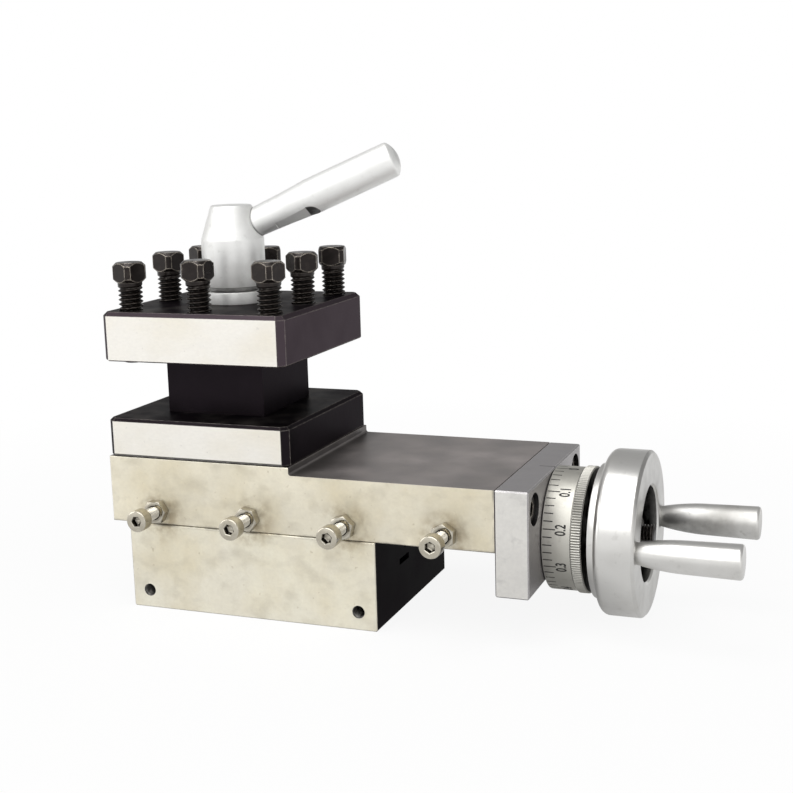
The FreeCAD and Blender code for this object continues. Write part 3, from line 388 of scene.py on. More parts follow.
def piece(name, parts, body, slot, *stands_for):
    """A mesh object that rides on a body. parts gives each finish, by its name, its skins."""
    mesh = bpy.data.meshes.new(name)
    points, faces, numbers, dirt_and_shade, shift = [], [], [], [], 0
    for number, (material, skins) in enumerate(parts.items()):
        mesh.materials.append(finish(material))
        for vertices, loops, grime in skins:
            points.append(vertices)
            faces += [[corner + shift for corner in face] for face in loops]
            numbers += [number] * len(loops)
            dirt_and_shade.append(grime)
            shift += len(vertices)
    mesh.from_pydata(np.concatenate(points), [], faces)
    mesh.polygons.foreach_set("material_index", numbers)
    # A layer of how dark each point is from old oil and painted shade, 0 not at all and 1 black.
    layer = mesh.attributes.new("grime", "FLOAT", "POINT")
    layer.data.foreach_set("value", np.concatenate(dirt_and_shade))
    mesh.shade_smooth()
    mesh.set_sharp_from_angle(angle=math.radians(30))
    mesh.update()
    made = bpy.data.objects.new(name, mesh)
    bpy.context.scene.collection.objects.link(made)
    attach(made, body)
    if stands_for:
        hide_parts(*stands_for)
    return made


# Materials


def add(tree, kind, inputs=(), out=0, **settings):
    """Adds a shader node with its settings and links, and gives its first output.

    out names another output, or is None for the node itself. inputs gives each input, by name
    or by place, a value or the output that feeds it.
    """
    made = tree.nodes.new("ShaderNode" + kind)
    for name, setting in settings.items():
        setattr(made, name, setting)
    for key, given in inputs.items() if isinstance(inputs, dict) else enumerate(inputs):
        if isinstance(given, bpy.types.NodeSocket):
            tree.links.new(given, made.inputs[key])
        elif made.inputs[key].type == "RGBA":
            made.inputs[key].default_value = (*given[:3], 1.0)
        else:
            made.inputs[key].default_value = given
    return made if out is None else made.outputs[out]


def metal(name, metallic, roughness):
    """Makes a material with a plain shader, and gives its node tree and the shader."""
    made = bpy.data.materials.new(name)
    made.use_nodes = True
    shader = made.node_tree.nodes["Principled BSDF"]
    shader.inputs["Metallic"].default_value = metallic
    shader.inputs["Roughness"].default_value = roughness
    return made.node_tree, shader


def dress(tree, shader, colours, rough=None, height=None, deep=0.0):
    """Links a shader to its colours, its roughness, and bumps that are deep millimetres high."""
    sources = {"Base Color": colours, "Roughness": rough}
    if height is not None:
        bumps = {"Height": height, "Strength": 1.0, "Distance": deep * MM}
        sources["Normal"] = add(tree, "Bump", bumps)
    for name, source in sources.items():
        if source is not None:
            tree.links.new(source, shader.inputs[name])


def tinted(shade, *parts):
    """A colour with its red, green and blue multiplied by parts, or all three by one part."""
    return tuple(np.minimum(np.array(shade) * parts, 1.0))


def coated(tree, base, *coats):
    """A base colour under coats, each given as its colour, how strong it is, and its masks.

    A coat lies where all of its masks are 1.
    """
    for shade, share, *masks in coats:
        for mask in masks:
            share = add(tree, "Math", (share, mask), operation="MULTIPLY")
        base = add(tree, "Mix", {0: share, 6: base, 7: shade}, 2, data_type="RGBA")
    return base


def cloud(tree, per_metre, low=0.35, high=0.65, detail=3.0):
    """Noise on the piece's own coordinates, 0 below low and 1 above high.

    per_metre gives how many cells of the noise lie in a metre, alike or along each axis.
    """
    here = add(tree, "TexCoord", (), "Object")
    cells = np.broadcast_to(per_metre, 3).astype(float).tolist()
    spread = add(tree, "Mapping", {"Vector": here, "Scale": cells})
    noise = add(tree, "TexNoise", {"Vector": spread, "Scale": 1.0, "Detail": detail})
    return add(tree, "MapRange", {"Value": noise, "From Min": low, "From Max": high})


def away(tree, place, axes, source=None):
    """How far a point, or the source's, lies from a place, on the axes that have 1 and not 0."""
    if source is None:
        source = add(tree, "TexCoord", (), "Object")
    off = add(tree, "VectorMath", (source, place), operation="SUBTRACT")
    flat = add(tree, "VectorMath", (off, axes), operation="MULTIPLY")
    return add(tree, "VectorMath", (flat,), "Value", operation="LENGTH")


def near(tree, place, axes, first, last, source=None):
    """1 nearer to a place than first millimetres and 0 further than last. See away.

    With last before first it is 0 near the place and 1 further out.
    """
    limits = {"Value": away(tree, place, axes, source), "From Min": last * MM, "From Max": first * MM}
    return add(tree, "MapRange", limits, interpolation_type="SMOOTHSTEP")


def rings(tree, axis, per_metre):
    """Noise that follows a lathe tool: it changes along the axis and with the radius only.

    The axis is the shaft's, X, or the turret's, Z.
    """
    if axis == "X":
        centre, across, forward = (0.0, 0.0, SHAFT_Z), (0, 1, 1), (1, 0, 0)
    else:
        centre, across, forward = (TURRET_X, 0.0, 0.0), (1, 1, 0), (0, 0, 1)
    pair = {"X": away(tree, centre, across), "Y": away(tree, centre, forward)}
    pair = add(tree, "CombineXYZ", pair)
    return add(tree, "TexNoise", {"Vector": pair, "Scale": per_metre, "Detail": 2.0})


def faces_along(tree, axis, beyond, slant=0.985):
    """1 on faces square to an axis that lie further out than beyond metres, else 0.

    slant is the least part of the normal that has to lie along the axis.
    """
    source = add(tree, "TexCoord", out=None)
    masks = []
    for output, level in (("Normal", slant), ("Object", beyond)):
        part = add(tree, "SeparateXYZ", (source.outputs[output],), axis)
        size = add(tree, "Math", (part,), operation="ABSOLUTE")
        masks.append(add(tree, "Math", (size, level), operation="GREATER_THAN"))
    return add(tree, "Math", masks, operation="MULTIPLY")


def worn_and_highlit_edges(tree, millimetres, chips):
    """1 along sharp edges and 0 a little way in, broken up by chips about 1 mm long.

    It shows where the rounded normal and the true one part. chips is how much they take away.
    The mask serves rubbed edges and painted highlights along edges.
    """
    rounded = add(tree, "Bevel", {"Radius": millimetres * MM}, samples=4)
    true = add(tree, "NewGeometry", (), "True Normal")
    alike = add(tree, "VectorMath", (rounded, true), "Value", operation="DOT_PRODUCT")
    edge = add(tree, "MapRange", {"Value": alike, "From Min": 0.993, "From Max": 0.94})
    broken = add(tree, "MapRange", {"Value": cloud(tree, 700.0), "To Min": 1 - chips})
    return add(tree, "Math", (edge, broken), operation="MULTIPLY")


def ground_steel(tree, shade, grime):
    """Colour of surface-ground tool steel: near white, with faint oil smears and fine grain."""
    grey = tinted(shade, 0.6)
    return coated(
        tree,
        shade,
        (tinted(shade, 0.93, 0.9, 0.82), 0.7, cloud(tree, (30.0, 30.0, 55.0), 0.45, 0.7, 4.0)),
        (grey, 0.1, cloud(tree, (700.0, 700.0, 1400.0), 0.3, 0.7, 2.0)),
        (grey, 0.3, cloud(tree, 650.0, 0.69, 0.75, 2.0)),
        # A painted shadow darkens the face just over the joint under the lower plate.
        (grime, 0.9, near(tree, (0, 0, TURRET_FOOT), (0, 0, 1), 0.8, 1.05)),
    )


def ground_iron(tree, shade, grime):
    """Colour of surface-ground grey iron that has been oiled and handled.

    It has warm patches of about 20 mm, paler ones, small grey streaks, fine grain and pits. Oil
    has run out round the gib screws, along the joint of slide and base, and at the bracket.
    """
    grey = tinted(shade, 0.62, 0.6, 0.56)
    brown = tinted(shade, 0.5, 0.43, 0.33)
    here = add(tree, "TexCoord", (), "Object")
    split = add(tree, "SeparateXYZ", (here,), None)
    # Along X, a point is as far from the nearest gib screw as the folded coordinate says.
    off = add(tree, "Math", (split.outputs["X"], FIRST_GIB_X), operation="SUBTRACT")
    off = add(tree, "Math", (off, GIB_STEP / 2), operation="PINGPONG")
    folded = add(tree, "CombineXYZ", {"X": off, "Z": split.outputs["Z"]})
    front = add(tree, "Math", (split.outputs["Y"], 0.0), operation="LESS_THAN")
    at_screws = near(tree, (0, 0, GIB_Z - 1.5 * MM), (1, 0, 1), 3.5, 12.0, folded)
    at_joint = near(tree, (0, 0, SHAFT_Z), (0, 0, 1), 0.0, 1.1)
    at_bracket = near(tree, (SLIDE_RIGHT, 0, 0), (1, 0, 0), 0.1, 0.8)
    seams = add(tree, "Math", (at_joint, at_bracket))
    return coated(
        tree,
        shade,
        (tinted(shade, 0.92, 0.87, 0.74), 0.6, cloud(tree, 48.0, 0.42, 0.66, 4.0)),
        (tinted(shade, 1.16), 0.6, cloud(tree, (70.0, 70.0, 40.0), 0.45, 0.7, 3.0)),
        (grey, 0.42, cloud(tree, (120.0, 120.0, 170.0), 0.5, 0.72, 9.0)),
        (grey, 0.13, cloud(tree, 900.0, 0.3, 0.7, 3.0)),
        (brown, 0.4, cloud(tree, 520.0, 0.68, 0.75, 3.0)),
        (brown, 0.75, front, at_screws, cloud(tree, 230.0, 0.42, 0.62, 7.0)),
        (grime, 0.5, seams, cloud(tree, 160.0, 0.4, 0.6, 4.0)),
    )


def oxide_block(
    name, ground, face, dark, grime, beyond, slant, rough, rim,
    calm=(FAR_OFF, FAR_OFF), calm_radius=10, step=FAR_OFF,
):
    """Blackened steel or iron whose front and back were ground bright afterwards.

    The rest is a thin black oxide: satin, cloudy, scuffed, and rubbed through to steel along
    its edges, which also carry a painted highlight, as the ground faces' edges do, but not within
    calm_radius millimetres of an upright line through calm. beyond and slant say which faces are
    ground, as in faces_along. rim is how much light the oxide gives back at a glancing angle.
    Beside a step that stands at step along X the oxide is darker: old oil and painted shade.
    """
    tree, shader = metal(name, 0.85, 0.4)
    shader.inputs["Specular Tint"].default_value = (rim, rim, rim, 1.0)
    steel = linear("#A39C95")
    mottle = cloud(tree, 60.0, 0.35, 0.7, 5.0)
    normal = add(tree, "TexCoord", (), "Normal")
    upward = add(tree, "SeparateXYZ", (normal,), "Z")
    upward = add(tree, "Math", (upward, 0.9), operation="GREATER_THAN")
    sides = add(tree, "Math", (1.0, upward), operation="SUBTRACT")
    here = add(tree, "TexCoord", (), "Object")
    height = add(tree, "SeparateXYZ", (here,), "Z")
    upper = add(tree, "Math", (height, UPPER_PLATE), operation="GREATER_THAN")
    worn_and_highlit = worn_and_highlit_edges(tree, 0.5, 0.7)
    rubbed = near(tree, (*calm, 0.0), (1, 1, 0), calm_radius + 0.01, calm_radius)
    oxide = coated(
        tree,
        dark,
        (tinted(dark, 1.7), 0.8, mottle),
        # Scuffs are rubbed patches of a few millimetres on faces that look up.
        (steel, 0.25, upward, cloud(tree, 130.0, 0.45, 0.72, 9.0)),
        # The turret's upper plate came out browner and lighter than the rest.
        (linear("#4F454B"), 0.8, upper, sides),
        # Darker beside the step: old oil and painted shade.
        (grime, 0.62, near(tree, (step, 0, 0), (1, 0, 0), 0.5, 9.0)),
        # Edges rubbed through to steel, with a painted highlight too.
        (steel, 0.75, worn_and_highlit, rubbed),
    )
    # The ground faces' edges get a painted highlight.
    bright = coated(tree, ground(tree, face, grime), (linear("#FBFAF6"), 0.35, worn_and_highlit, rubbed))
    bare = faces_along(tree, "Y", beyond, slant)
    uneven = cloud(tree, 300.0, 0.3, 0.7, 4.0)
    satin = add(tree, "MapRange", {"Value": mottle, "To Min": rough, "To Max": rough + 0.14})
    matt = add(tree, "MapRange", {"Value": uneven, "To Min": 0.42, "To Max": 0.56})
    roughness = add(tree, "Mix", {0: bare, 2: satin, 3: matt})
    colours = coated(tree, oxide, (bright, 1.0, bare))
    dress(tree, shader, colours, roughness, cloud(tree, 900.0, 0.2, 0.8, 3.0), 0.01)


def milled_bracket(name, face, side, grime):
    """Grey iron, milled: the front is bright and the other faces are darker, partly duller and
    partly painted shade. It has fine grain and spots.
    """
    tree, shader = metal(name, 0.9, 0.42)
    duller = tinted(side, 0.75)
    patches = cloud(tree, 75.0, 0.4, 0.7, 4.0)
    here = add(tree, "TexCoord", (), "Object")
    mirrored = add(tree, "VectorMath", (here,), operation="ABSOLUTE")
    screw = (0, BRACKET_SCREW_Y, BRACKET_SCREW_Z)
    colours = coated(
        tree,
        side,
        (face, 1.0, faces_along(tree, "Y", -SLIDE_FRONT - 0.3 * MM)),
        (duller, 0.18, patches),
        (duller, 0.1, cloud(tree, 900.0, 0.3, 0.7, 3.0)),
        (duller, 0.22, cloud(tree, 260.0, 0.6, 0.72, 4.0)),
        # A painted highlight lies along the edges.
        (linear("#F2F1EE"), 0.7, worn_and_highlit_edges(tree, 0.4, 0.5)),
        # Painted shade darkens the two counterbores, which are 10 mm wide.
        (grime, 0.85, near(tree, screw, (0, 1, 1), 5.04, 5.2, mirrored)),
    )
    rough = add(tree, "MapRange", {"Value": patches, "To Min": 0.4, "To Max": 0.52})
    dress(tree, shader, colours, rough, cloud(tree, 700.0, 0.2, 0.8, 3.0), 0.008)


def turned_metal(name, shade, axis, grime, rough, dirt_and_shade=0.25, line=0.1, metallic=1.0):
    """Metal as it leaves the lathe: satin, with fine rings from the tool and handling marks.

    dirt and line are how strong the marks of hands and of the tool are. metallic is under 1
    where a dry film makes the steel paler and less like a mirror. Edges are brightened, partly
    as rubbing and partly as a painted highlight, and the grime layer lays on old oil and painted
    shade.
    """
    tree, shader = metal(name, metallic, rough)
    # Tool rings are about 0.05 mm apart. They are drawn at 0.35 mm, which is as fine as shows.
    marks = rings(tree, axis, 2800.0)
    handled = cloud(tree, 75.0, 0.45, 0.72, 5.0)
    small = cloud(tree, 420.0, 0.6, 0.74, 4.0)
    oil_and_shade_level = add(tree, "Attribute", (), "Fac", attribute_name="grime")
    patchy = cloud(tree, 260.0, 0.35, 0.6, 6.0)
    patchy = add(tree, "MapRange", {"Value": patchy, "To Min": 0.72, "To Max": 1.0})
    duller = tinted(shade, 0.6, 0.59, 0.57)
    colours = coated(
        tree,
        shade,
        (duller, dirt_and_shade, handled),
        (duller, line, marks),
        (duller, dirt_and_shade * 0.8, small),
        # Bright edges: partly rubbed, partly a painted highlight.
        (linear("#F4F3F0"), 0.5, worn_and_highlit_edges(tree, 0.3, 0.3)),
        # Old oil and painted shade, where the grime layer says.
        (grime, 1.0, oil_and_shade_level, patchy),
    )
    satin = add(tree, "MapRange", {"Value": handled, "To Min": rough, "To Max": rough + 0.12})
    dress(tree, shader, colours, satin, marks, 0.005)


def blackened_screw(name, dark, grime, rubbed_and_highlit_edges):
    """A hardened screw, oil-blackened: brown-black and half glossy, bright on its edges, which are
    partly rubbed and partly a painted highlight.
    """
    tree, shader = metal(name, 0.6, 0.35)
    rubbed = cloud(tree, 420.0, 0.5, 0.75, 4.0)
    oily = cloud(tree, 120.0, 0.35, 0.65, 3.0)
    colours = coated(
        tree,
        dark,
        (linear("#5D534D"), 0.12, rubbed),
        # Bright edges: partly rubbed, partly a painted highlight.
        (linear("#D2C8BA"), rubbed_and_highlit_edges, worn_and_highlit_edges(tree, 0.45, 0.75)),
        # Old oil and painted shade in the roots, the sockets and at the seats.
        (grime, 1.0, add(tree, "Attribute", (), "Fac", attribute_name="grime")),
    )
    satin = add(tree, "MapRange", {"Value": oily, "To Min": 0.24, "To Max": 0.38})
    dress(tree, shader, colours, satin, rubbed, 0.01)


def plated(name, shade, grime):
    """Nickel over steel: warm, bright and smooth, with a painted highlight on its edges, and old oil
    and painted shade in its roots and sockets and at its seats.
    """
    tree, shader = metal(name, 1.0, 0.2)
    uneven = cloud(tree, 350.0, 0.4, 0.7, 3.0)
    colours = coated(
        tree,
        shade,
        (tinted(shade, 0.5, 0.46, 0.4), 0.4, uneven),
        # A painted highlight along the edges.
        (linear("#F4F1E8"), 0.5, worn_and_highlit_edges(tree, 0.25, 0.2)),
        # Old oil and painted shade, where the grime layer says.
        (grime, 0.9, add(tree, "Attribute", (), "Fac", attribute_name="grime")),
    )
    smooth = add(tree, "MapRange", {"Value": uneven, "To Min": 0.14, "To Max": 0.28})
    dress(tree, shader, colours, smooth, uneven, 0.008)


def black_ink(name, shade):
    """Black engraver's filler: matt, slightly patchy."""
    tree, shader = metal(name, 0.0, 0.6)
    grey = tuple(np.array(shade) + 0.05)
    dress(tree, shader, coated(tree, shade, (grey, 0.5, cloud(tree, 1500.0, 0.45, 0.8, 2.0))))


def finish(name):
    """The material of that name, made by the finishes operator."""
    made = bpy.data.materials.get(name)
    if made is None:
        raise RuntimeError(f"the finish {name!r} isn't made yet")
    return made


class TURRET_OT_finishes(bpy.types.Operator):
    """Make every material"""

    bl_idname = "turret.finishes"
    bl_label = "Finishes"

    def execute(self, context):
        shades = context.scene.turret_colours
        shade = {name: tuple(getattr(shades, name)) for name in TurretColours.__annotations__}
        dirt_and_shade, black = shade["grime"], shade["oxide"]
        # The slide's and base's ground faces take in their chamfers, the turret's don't.
        side = -SLIDE_FRONT - 0.3 * MM
        oxide_block(
            "ground and blackened steel", ground_steel, shade["ground"], black, dirt_and_shade,
            beyond=30 * MM, slant=0.985, rough=0.36, rim=0.45, calm=(TURRET_X, 0.0), calm_radius=26,
        )
        oxide_block(
            "ground iron", ground_iron, shade["slide"], shade["slide_top"], dirt_and_shade,
            beyond=side, slant=0.6, rough=0.4, rim=1.0, step=PAD_RIGHT,
        )
        # The base's right end has a notch whose edges aren't worn.
        oxide_block(
            "ground iron with black ends", ground_iron, shade["base"], black, dirt_and_shade,
            beyond=side, slant=0.6, rough=0.36, rim=0.22, calm=(BASE_RIGHT, -7.5 * MM), calm_radius=8,
        )
        milled_bracket("milled bracket iron", shade["bracket"], shade["bracket_side"], dirt_and_shade)
        turned_metal("satin aluminium", shade["aluminium"], "X", dirt_and_shade, 0.29, 0.35, 0.06)
        # A darker copy of the aluminium for the rear handle, with strong handling marks: partly
        # handling, partly painted shade.
        turned_metal("handled aluminium", shade["aluminium"], "X", dirt_and_shade, 0.42, 0.7, 0.06)
        turned_metal("turned steel", shade["bright"], "Z", dirt_and_shade, 0.46, 0.45, 0.05, 0.7)
        turned_metal("lever steel", shade["bright"], "Z", dirt_and_shade, 0.46, 0.25, 0.0, 0.65)
        turned_metal("dial steel", shade["dial"], "X", dirt_and_shade, 0.5, 0.45)
        turned_metal("machined bronze", shade["bronze"], "X", dirt_and_shade, 0.32)
        turned_metal("leadscrew steel", linear("#9A9893"), "X", dirt_and_shade, 0.3)
        blackened_screw("oil-blackened steel", shade["screws"], dirt_and_shade, 0.9)
        blackened_screw("oil-blackened thread", shade["screws"], dirt_and_shade, 0.12)
        plated("bright nickel plate", shade["nickel"], dirt_and_shade)
        black_ink("black ink", shade["ink"])
        return {"FINISHED"}


# Pieces


class TURRET_OT_blocks(bpy.types.Operator):
    """Finishes of the machined blocks and hidden parts, and the thread in the base's two holes"""

    bl_idname = "turret.blocks"
    bl_label = "Machined blocks"

    def execute(self, context):
        wanted = {
            "ground iron with black ends": ("base_block",),
            "ground iron": ("top_slide",),
            "milled bracket iron": ("end_bracket",),
            "ground and blackened steel": ("turret_block",),
            "machined bronze": ("leadscrew_nut", "bearing_bush"),
            "oil-blackened steel": ("nut_screw",),
            "turned steel": ("turret_stud", "index_ball"),
            "leadscrew steel": ("gib_strip", "index_spring", "dial_spring", "wheel_key"),
        }
        for material, names in wanted.items():
            for name in names:
                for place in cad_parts[name].material_slots:
                    place.material = finish(material)
        pitch = context.scene.turret_threads.hole_pitch / MM
        from_end, level, depth, outer, bore = 6.2 * MM, 6 * MM, 11, 2.15, 2.08
        sleeves = []
        for x in (from_end - BASE_RIGHT, BASE_RIGHT - from_end):
            floor = (x, SLIDE_FRONT + depth * MM, level)
            sleeves.append(threaded_sleeve(depth - 0.05, pitch, outer, bore, floor, "-Y"))
        piece("tapped_holes", {"leadscrew steel": sleeves}, "base", "base_block")
        return {"FINISHED"}


def tool_screw_skins(origin, spin, pitch):
    """A square-headed set screw, from its tip up: a threaded rod and a head.

    The head's radius at each angle is the smaller of a square's and of the round blank's. Its
    ends are cones: an edge drops by 1 mm from the flat's middle to the rounded corner.
    """
    length, crest, half, corner, low, high = 26.5, 3.97, 4.375, 5.3, 26.05, 32.5
    rod = threaded_rod(0, length, pitch, crest, origin, "Z", (0.8, 0.3), (0.6, length - 1.3), 48)
    around = wrench_columns(half, corner, 4)
    outline = np.minimum(flats(around, half, 4), corner)
    drop = (outline - half) / (corner - half)
    face = 0.95 * half
    rows = [
        (low, 0, 0), (low, face, 0), (low + drop, outline - 0.1, 0), (low + drop + 0.12, outline, 0),
        (high - drop - 0.14, outline, 0), (high - drop - 0.02, outline - 0.1, 0),
        (high, face, 0), (high, 0, 0),
    ]
    return rod, lofted(rows, around, spin, origin, "Z")


class TURRET_OT_tool_screws(bpy.types.Operator):
    """Eight threaded clamping screws with square heads"""

    bl_idname = "turret.tool_screws"
    bl_label = "Tool screws"

    def execute(self, context):
        pitch = context.scene.turret_threads.tool_pitch / MM
        turns = (70, 86, 74, 54, 15, 35, 60, 76)
        for number, degrees in enumerate(turns, 1):
            name = f"tool_screw_{number}"
            origin = (*middle(name).xy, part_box(name)[0].z)
            rod, head = tool_screw_skins(origin, math.radians(degrees), pitch)
            skins = {"oil-blackened steel": [head], "oil-blackened thread": [rod]}
            piece(f"threaded_{name}", skins, name, "tool_screws", name)
        return {"FINISHED"}


def socket_head(out, height, flat, depth, origin, axis, spin):
    """A cap screw's head of radius out with a hexagon socket, standing on the origin.

    The outside is round. Inside, the radius at each angle is a hexagon's, down to a shallow cone.
    """
    around = circle_steps(60)
    hexagon = flats(around, flat / 2, 6)
    floor = height - depth
    # The third number in each row darkens the side towards the seat and the socket down to its floor:
    # painted shade.
    rows = [
        (0, 0, 0), (0, out - 0.15, 0.8), (0.15, out, 0.65), (0.6, out, 0.5), (height - 0.5, out, 0.4),
        (height - 0.2, out - 0.08, 0.2), (height - 0.05, out - 0.28, 0), (height, out - 0.5, 0),
        (height, hexagon + 0.22, 0), (height - 0.16, hexagon + 0.02, 0.4), (height - 0.5, hexagon, 0.9),
        (floor, hexagon, 1), (floor - 0.1, hexagon * 0.9, 0.6), (floor - 0.55, 0, 0),
    ]
    return lofted(rows, around, spin, origin, axis)


def hex_nut(half, thickness, bore, origin, axis, spin):
    """A hexagon nut standing on the origin.

    Outside, the radius at each angle is a hexagon's, and both ends are cones of 30 degrees, so
    an edge drops by its distance from the flat's middle * tan 30.
    """
    corner = half / math.cos(math.pi / 6) * 0.998
    around = wrench_columns(half, corner, 6)
    outline = np.minimum(flats(around, half, 6), corner)
    drop = np.maximum((outline - half * 0.97) * math.tan(math.pi / 6), 0.02)
    face, mouth, bevel = half * 0.94, bore + 0.35, 0.35
    # The third number in each row darkens the bore, the seat face and the lower part of the flats:
    # painted shade.
    rows = [
        (thickness / 2, bore, 1), (bevel, bore, 1), (0, mouth, 0.5), (0, face, 0.6),
        (drop, outline, 0.65), (thickness - drop, outline, 0.4), (thickness, face, 0),
        (thickness, mouth, 0.5), (thickness - bevel, bore, 1),
    ]
    return lofted(rows, around, spin, origin, axis, True)


class TURRET_OT_gib_screws(bpy.types.Operator):
    """Four gib screws and their lock nuts along the slide's front"""

    bl_idname = "turret.gib_screws"
    bl_label = "Gib screws"

    def execute(self, context):
        pitch = context.scene.turret_threads.gib_pitch / MM
        reach = (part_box("gib_screws")[1].y - SLIDE_FRONT) / MM
        radius, neck, half_flats, nut_thickness = 2.0, 10.0, 3.5, 3.2
        head_radius, head_height, key, socket_depth = 3.5, 4.0, 3.0, 2.2
        screws, nuts = [], []
        for number, degrees in enumerate((4, -9, 17, 28)):
            x = FIRST_GIB_X + GIB_STEP * number
            spin = math.radians(30 + degrees)
            screws.append(threaded_rod(
                0, reach + neck + 0.2, pitch, radius, (x, SLIDE_FRONT + reach * MM, GIB_Z), "-Y",
                (1.6, 0.1), (reach - 4, reach + neck - 0.4), 32,
            ))
            under_head = (x, SLIDE_FRONT - neck * MM, GIB_Z)
            screws.append(
                socket_head(head_radius, head_height, key, socket_depth, under_head, "-Y", spin)
            )
            on_slide = (x, SLIDE_FRONT, GIB_Z)
            nuts.append(hex_nut(half_flats, nut_thickness, radius, on_slide, "-Y", spin))
        for name, skins, node in (
            ("threaded_gib_screws", screws, "gib_screws"), ("turned_lock_nuts", nuts, "gib_lock_nuts")
        ):
            piece(name, {"bright nickel plate": skins}, "top_slide", "nickel_screws", node)
        return {"FINISHED"}


class TURRET_OT_bracket_screws(bpy.types.Operator):
    """Two cap screws sunk in the end bracket, and the line that the dial is read against"""

    bl_idname = "turret.bracket_screws"
    bl_label = "Bracket screws"

    def execute(self, context):
        low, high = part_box("bracket_screws")
        radius, pitch, head_radius, head_height, key, socket_depth = 2.5, 0.8, 4.25, 5.0, 4.0, 2.6
        seat = high.x - head_height * MM
        length = (seat - low.x) / MM + 0.2
        skins = []
        for side in (-1, 1):
            y, z = side * BRACKET_SCREW_Y, BRACKET_SCREW_Z
            skins.append(
                socket_head(head_radius, head_height, key, socket_depth, (seat, y, z), "X", 0.3 * side)
            )
            skins.append(threaded_rod(
                0, length, pitch, radius, (low.x, y, z), "X", (0.4, 0.05), (0.4, 11), 28
            ))
        skins = {"oil-blackened steel": skins}
        piece("sunk_cap_screws", skins, "top_slide", "black_cap_screws", "bracket_screws")
        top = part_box("end_bracket")[1]
        long, half_width, proud, sunk = 5.2 * MM, 0.14 * MM, 0.02 * MM, 0.1 * MM
        start = np.array([top.x - 0.05 * MM - long, -half_width, top.z - sunk])
        line = start + CUBE * (long, 2 * half_width, sunk + proud)
        skins = {"black ink": [(line, CUBE_FACES.tolist(), np.zeros(8))]}
        piece("witness_line", skins, "top_slide", "bracket")
        return {"FINISHED"}


class TURRET_OT_leadscrew(bpy.types.Operator):
    """The leadscrew with its thread, collar, journal and threaded end"""

    bl_idname = "turret.leadscrew"
    bl_label = "Leadscrew"

    def execute(self, context):
        threads = context.scene.turret_threads
        low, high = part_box("leadscrew")
        origin = (0, 0, SHAFT_Z)
        left, right = low.x / MM, high.x / MM
        radius, stub_radius, collar_radius = 4.0, 3.0, 7.0
        # The thread ends in the collar, the collar in the journal, and the journal in the stub.
        collar, journal, stub = 78.15, 82.0, 113.0
        screw = threaded_rod(
            left, collar + 0.15, threads.lead_pitch / MM, radius, origin, "X", (1.0, 0.05),
            (left + 0.4, 76.0), 32,
        )
        ring = [(collar, 0), (collar, collar_radius), (82.05, collar_radius), (82.05, 0)]
        plain = [(journal, 0), (journal, radius), (stub + 0.15, radius), (stub + 0.15, 0)]
        end = threaded_rod(
            stub, right, threads.stub_pitch / MM, stub_radius, origin, "X", (0.05, 0.6),
            (stub + 0.6, right - 0.3), 36,
        )
        ring = turned(eased(ring, 0.3), 72, origin, "X")
        plain = turned(eased(plain, 0.2), 48, origin, "X")
        skins = {"leadscrew steel": [screw, ring, plain], "oil-blackened thread": [end]}
        piece("threaded_leadscrew", skins, "spindle", "leadscrew_steel", "leadscrew")
        return {"FINISHED"}


def wrapped(along, around, out):
    """Points round the dial's axis: around is the angle from the front upwards."""
    return np.stack([along, -out * np.cos(around), SHAFT_Z + out * np.sin(around)], axis=-1)


def dial_print(name, points, faces):
    """Black ink on the dial, with flat faces."""
    ink = {"black ink": [(points, faces, np.zeros(len(points)))]}
    made = piece(name, ink, "dial", "dial")
    made.data.shade_flat()


def dial_figures(dial, radius):
    """The figures 0 to 0.9 wrapped round the dial.

    Each is flat text made a mesh. Its width becomes an angle (width / radius) up from its mark,
    its height runs towards the bracket, and its thickness becomes radius. The figures are
    narrower than the font's, whose capitals are 0.72 of its size.
    """
    capitals, narrow, count = 0.72, 0.62, 10
    points, faces, shift = [], [], 0
    for step in range(count):
        text = bpy.data.curves.new("figure", "FONT")
        text.body = "0" if step == 0 else f"0.{step}"
        text.align_x, text.align_y = "CENTER", "CENTER"
        text.size = dial.figure_height / capitals
        text.extrude = 0.03 * MM
        text.offset = 0.1 * MM
        holder = bpy.data.objects.new("figure", text)
        bpy.context.scene.collection.objects.link(holder)
        graph = bpy.context.evaluated_depsgraph_get()
        mesh = bpy.data.meshes.new_from_object(holder.evaluated_get(graph))
        flat = np.zeros(len(mesh.vertices) * 3)
        mesh.vertices.foreach_get("co", flat)
        flat = flat.reshape(-1, 3)
        flat[:, 1] -= (flat[:, 1].min() + flat[:, 1].max()) / 2
        around = dial.zero - step * 2 * math.pi / count + flat[:, 0] * narrow / radius
        points.append(wrapped(dial.figure_middle - flat[:, 1], around, radius + flat[:, 2]))
        faces += [[v + shift for v in polygon.vertices] for polygon in mesh.polygons]
        shift += len(flat)
        bpy.data.objects.remove(holder)
        bpy.data.curves.remove(text)
        bpy.data.meshes.remove(mesh)
    dial_print("dial_figures", np.concatenate(points), faces)


def dial_marks(dial, radius, left):
    """The dial's marks: one thin bent bar for each division, longer at every fifth.

    Corners are an angle (division * step, plus or minus half the width), a place along the
    axis (the near edge, plus the mark's length) and a radius just over the band's.
    """
    number = np.arange(dial.divisions)[:, None]
    middle_angle = dial.zero - number * 2 * math.pi / dial.divisions
    size = np.where(number % dial.long_every == 0, dial.long_mark, dial.short_mark)
    edge, thick, sunk = 0.35 * MM, 0.05 * MM, 0.035 * MM
    around = middle_angle + (CUBE[:, 1] - 0.5) * dial.mark_width / radius
    along = left + edge + CUBE[:, 0] * size
    out = np.broadcast_to(radius + CUBE[:, 2] * thick - sunk, around.shape)
    # Seen from outside, along, around and out are a left-handed set, so the faces are turned.
    faces = (CUBE_FACES[:, ::-1] + 8 * number[:, :, None]).reshape(-1, 4).tolist()
    dial_print("dial_marks", wrapped(along, around, out).reshape(-1, 3), faces)


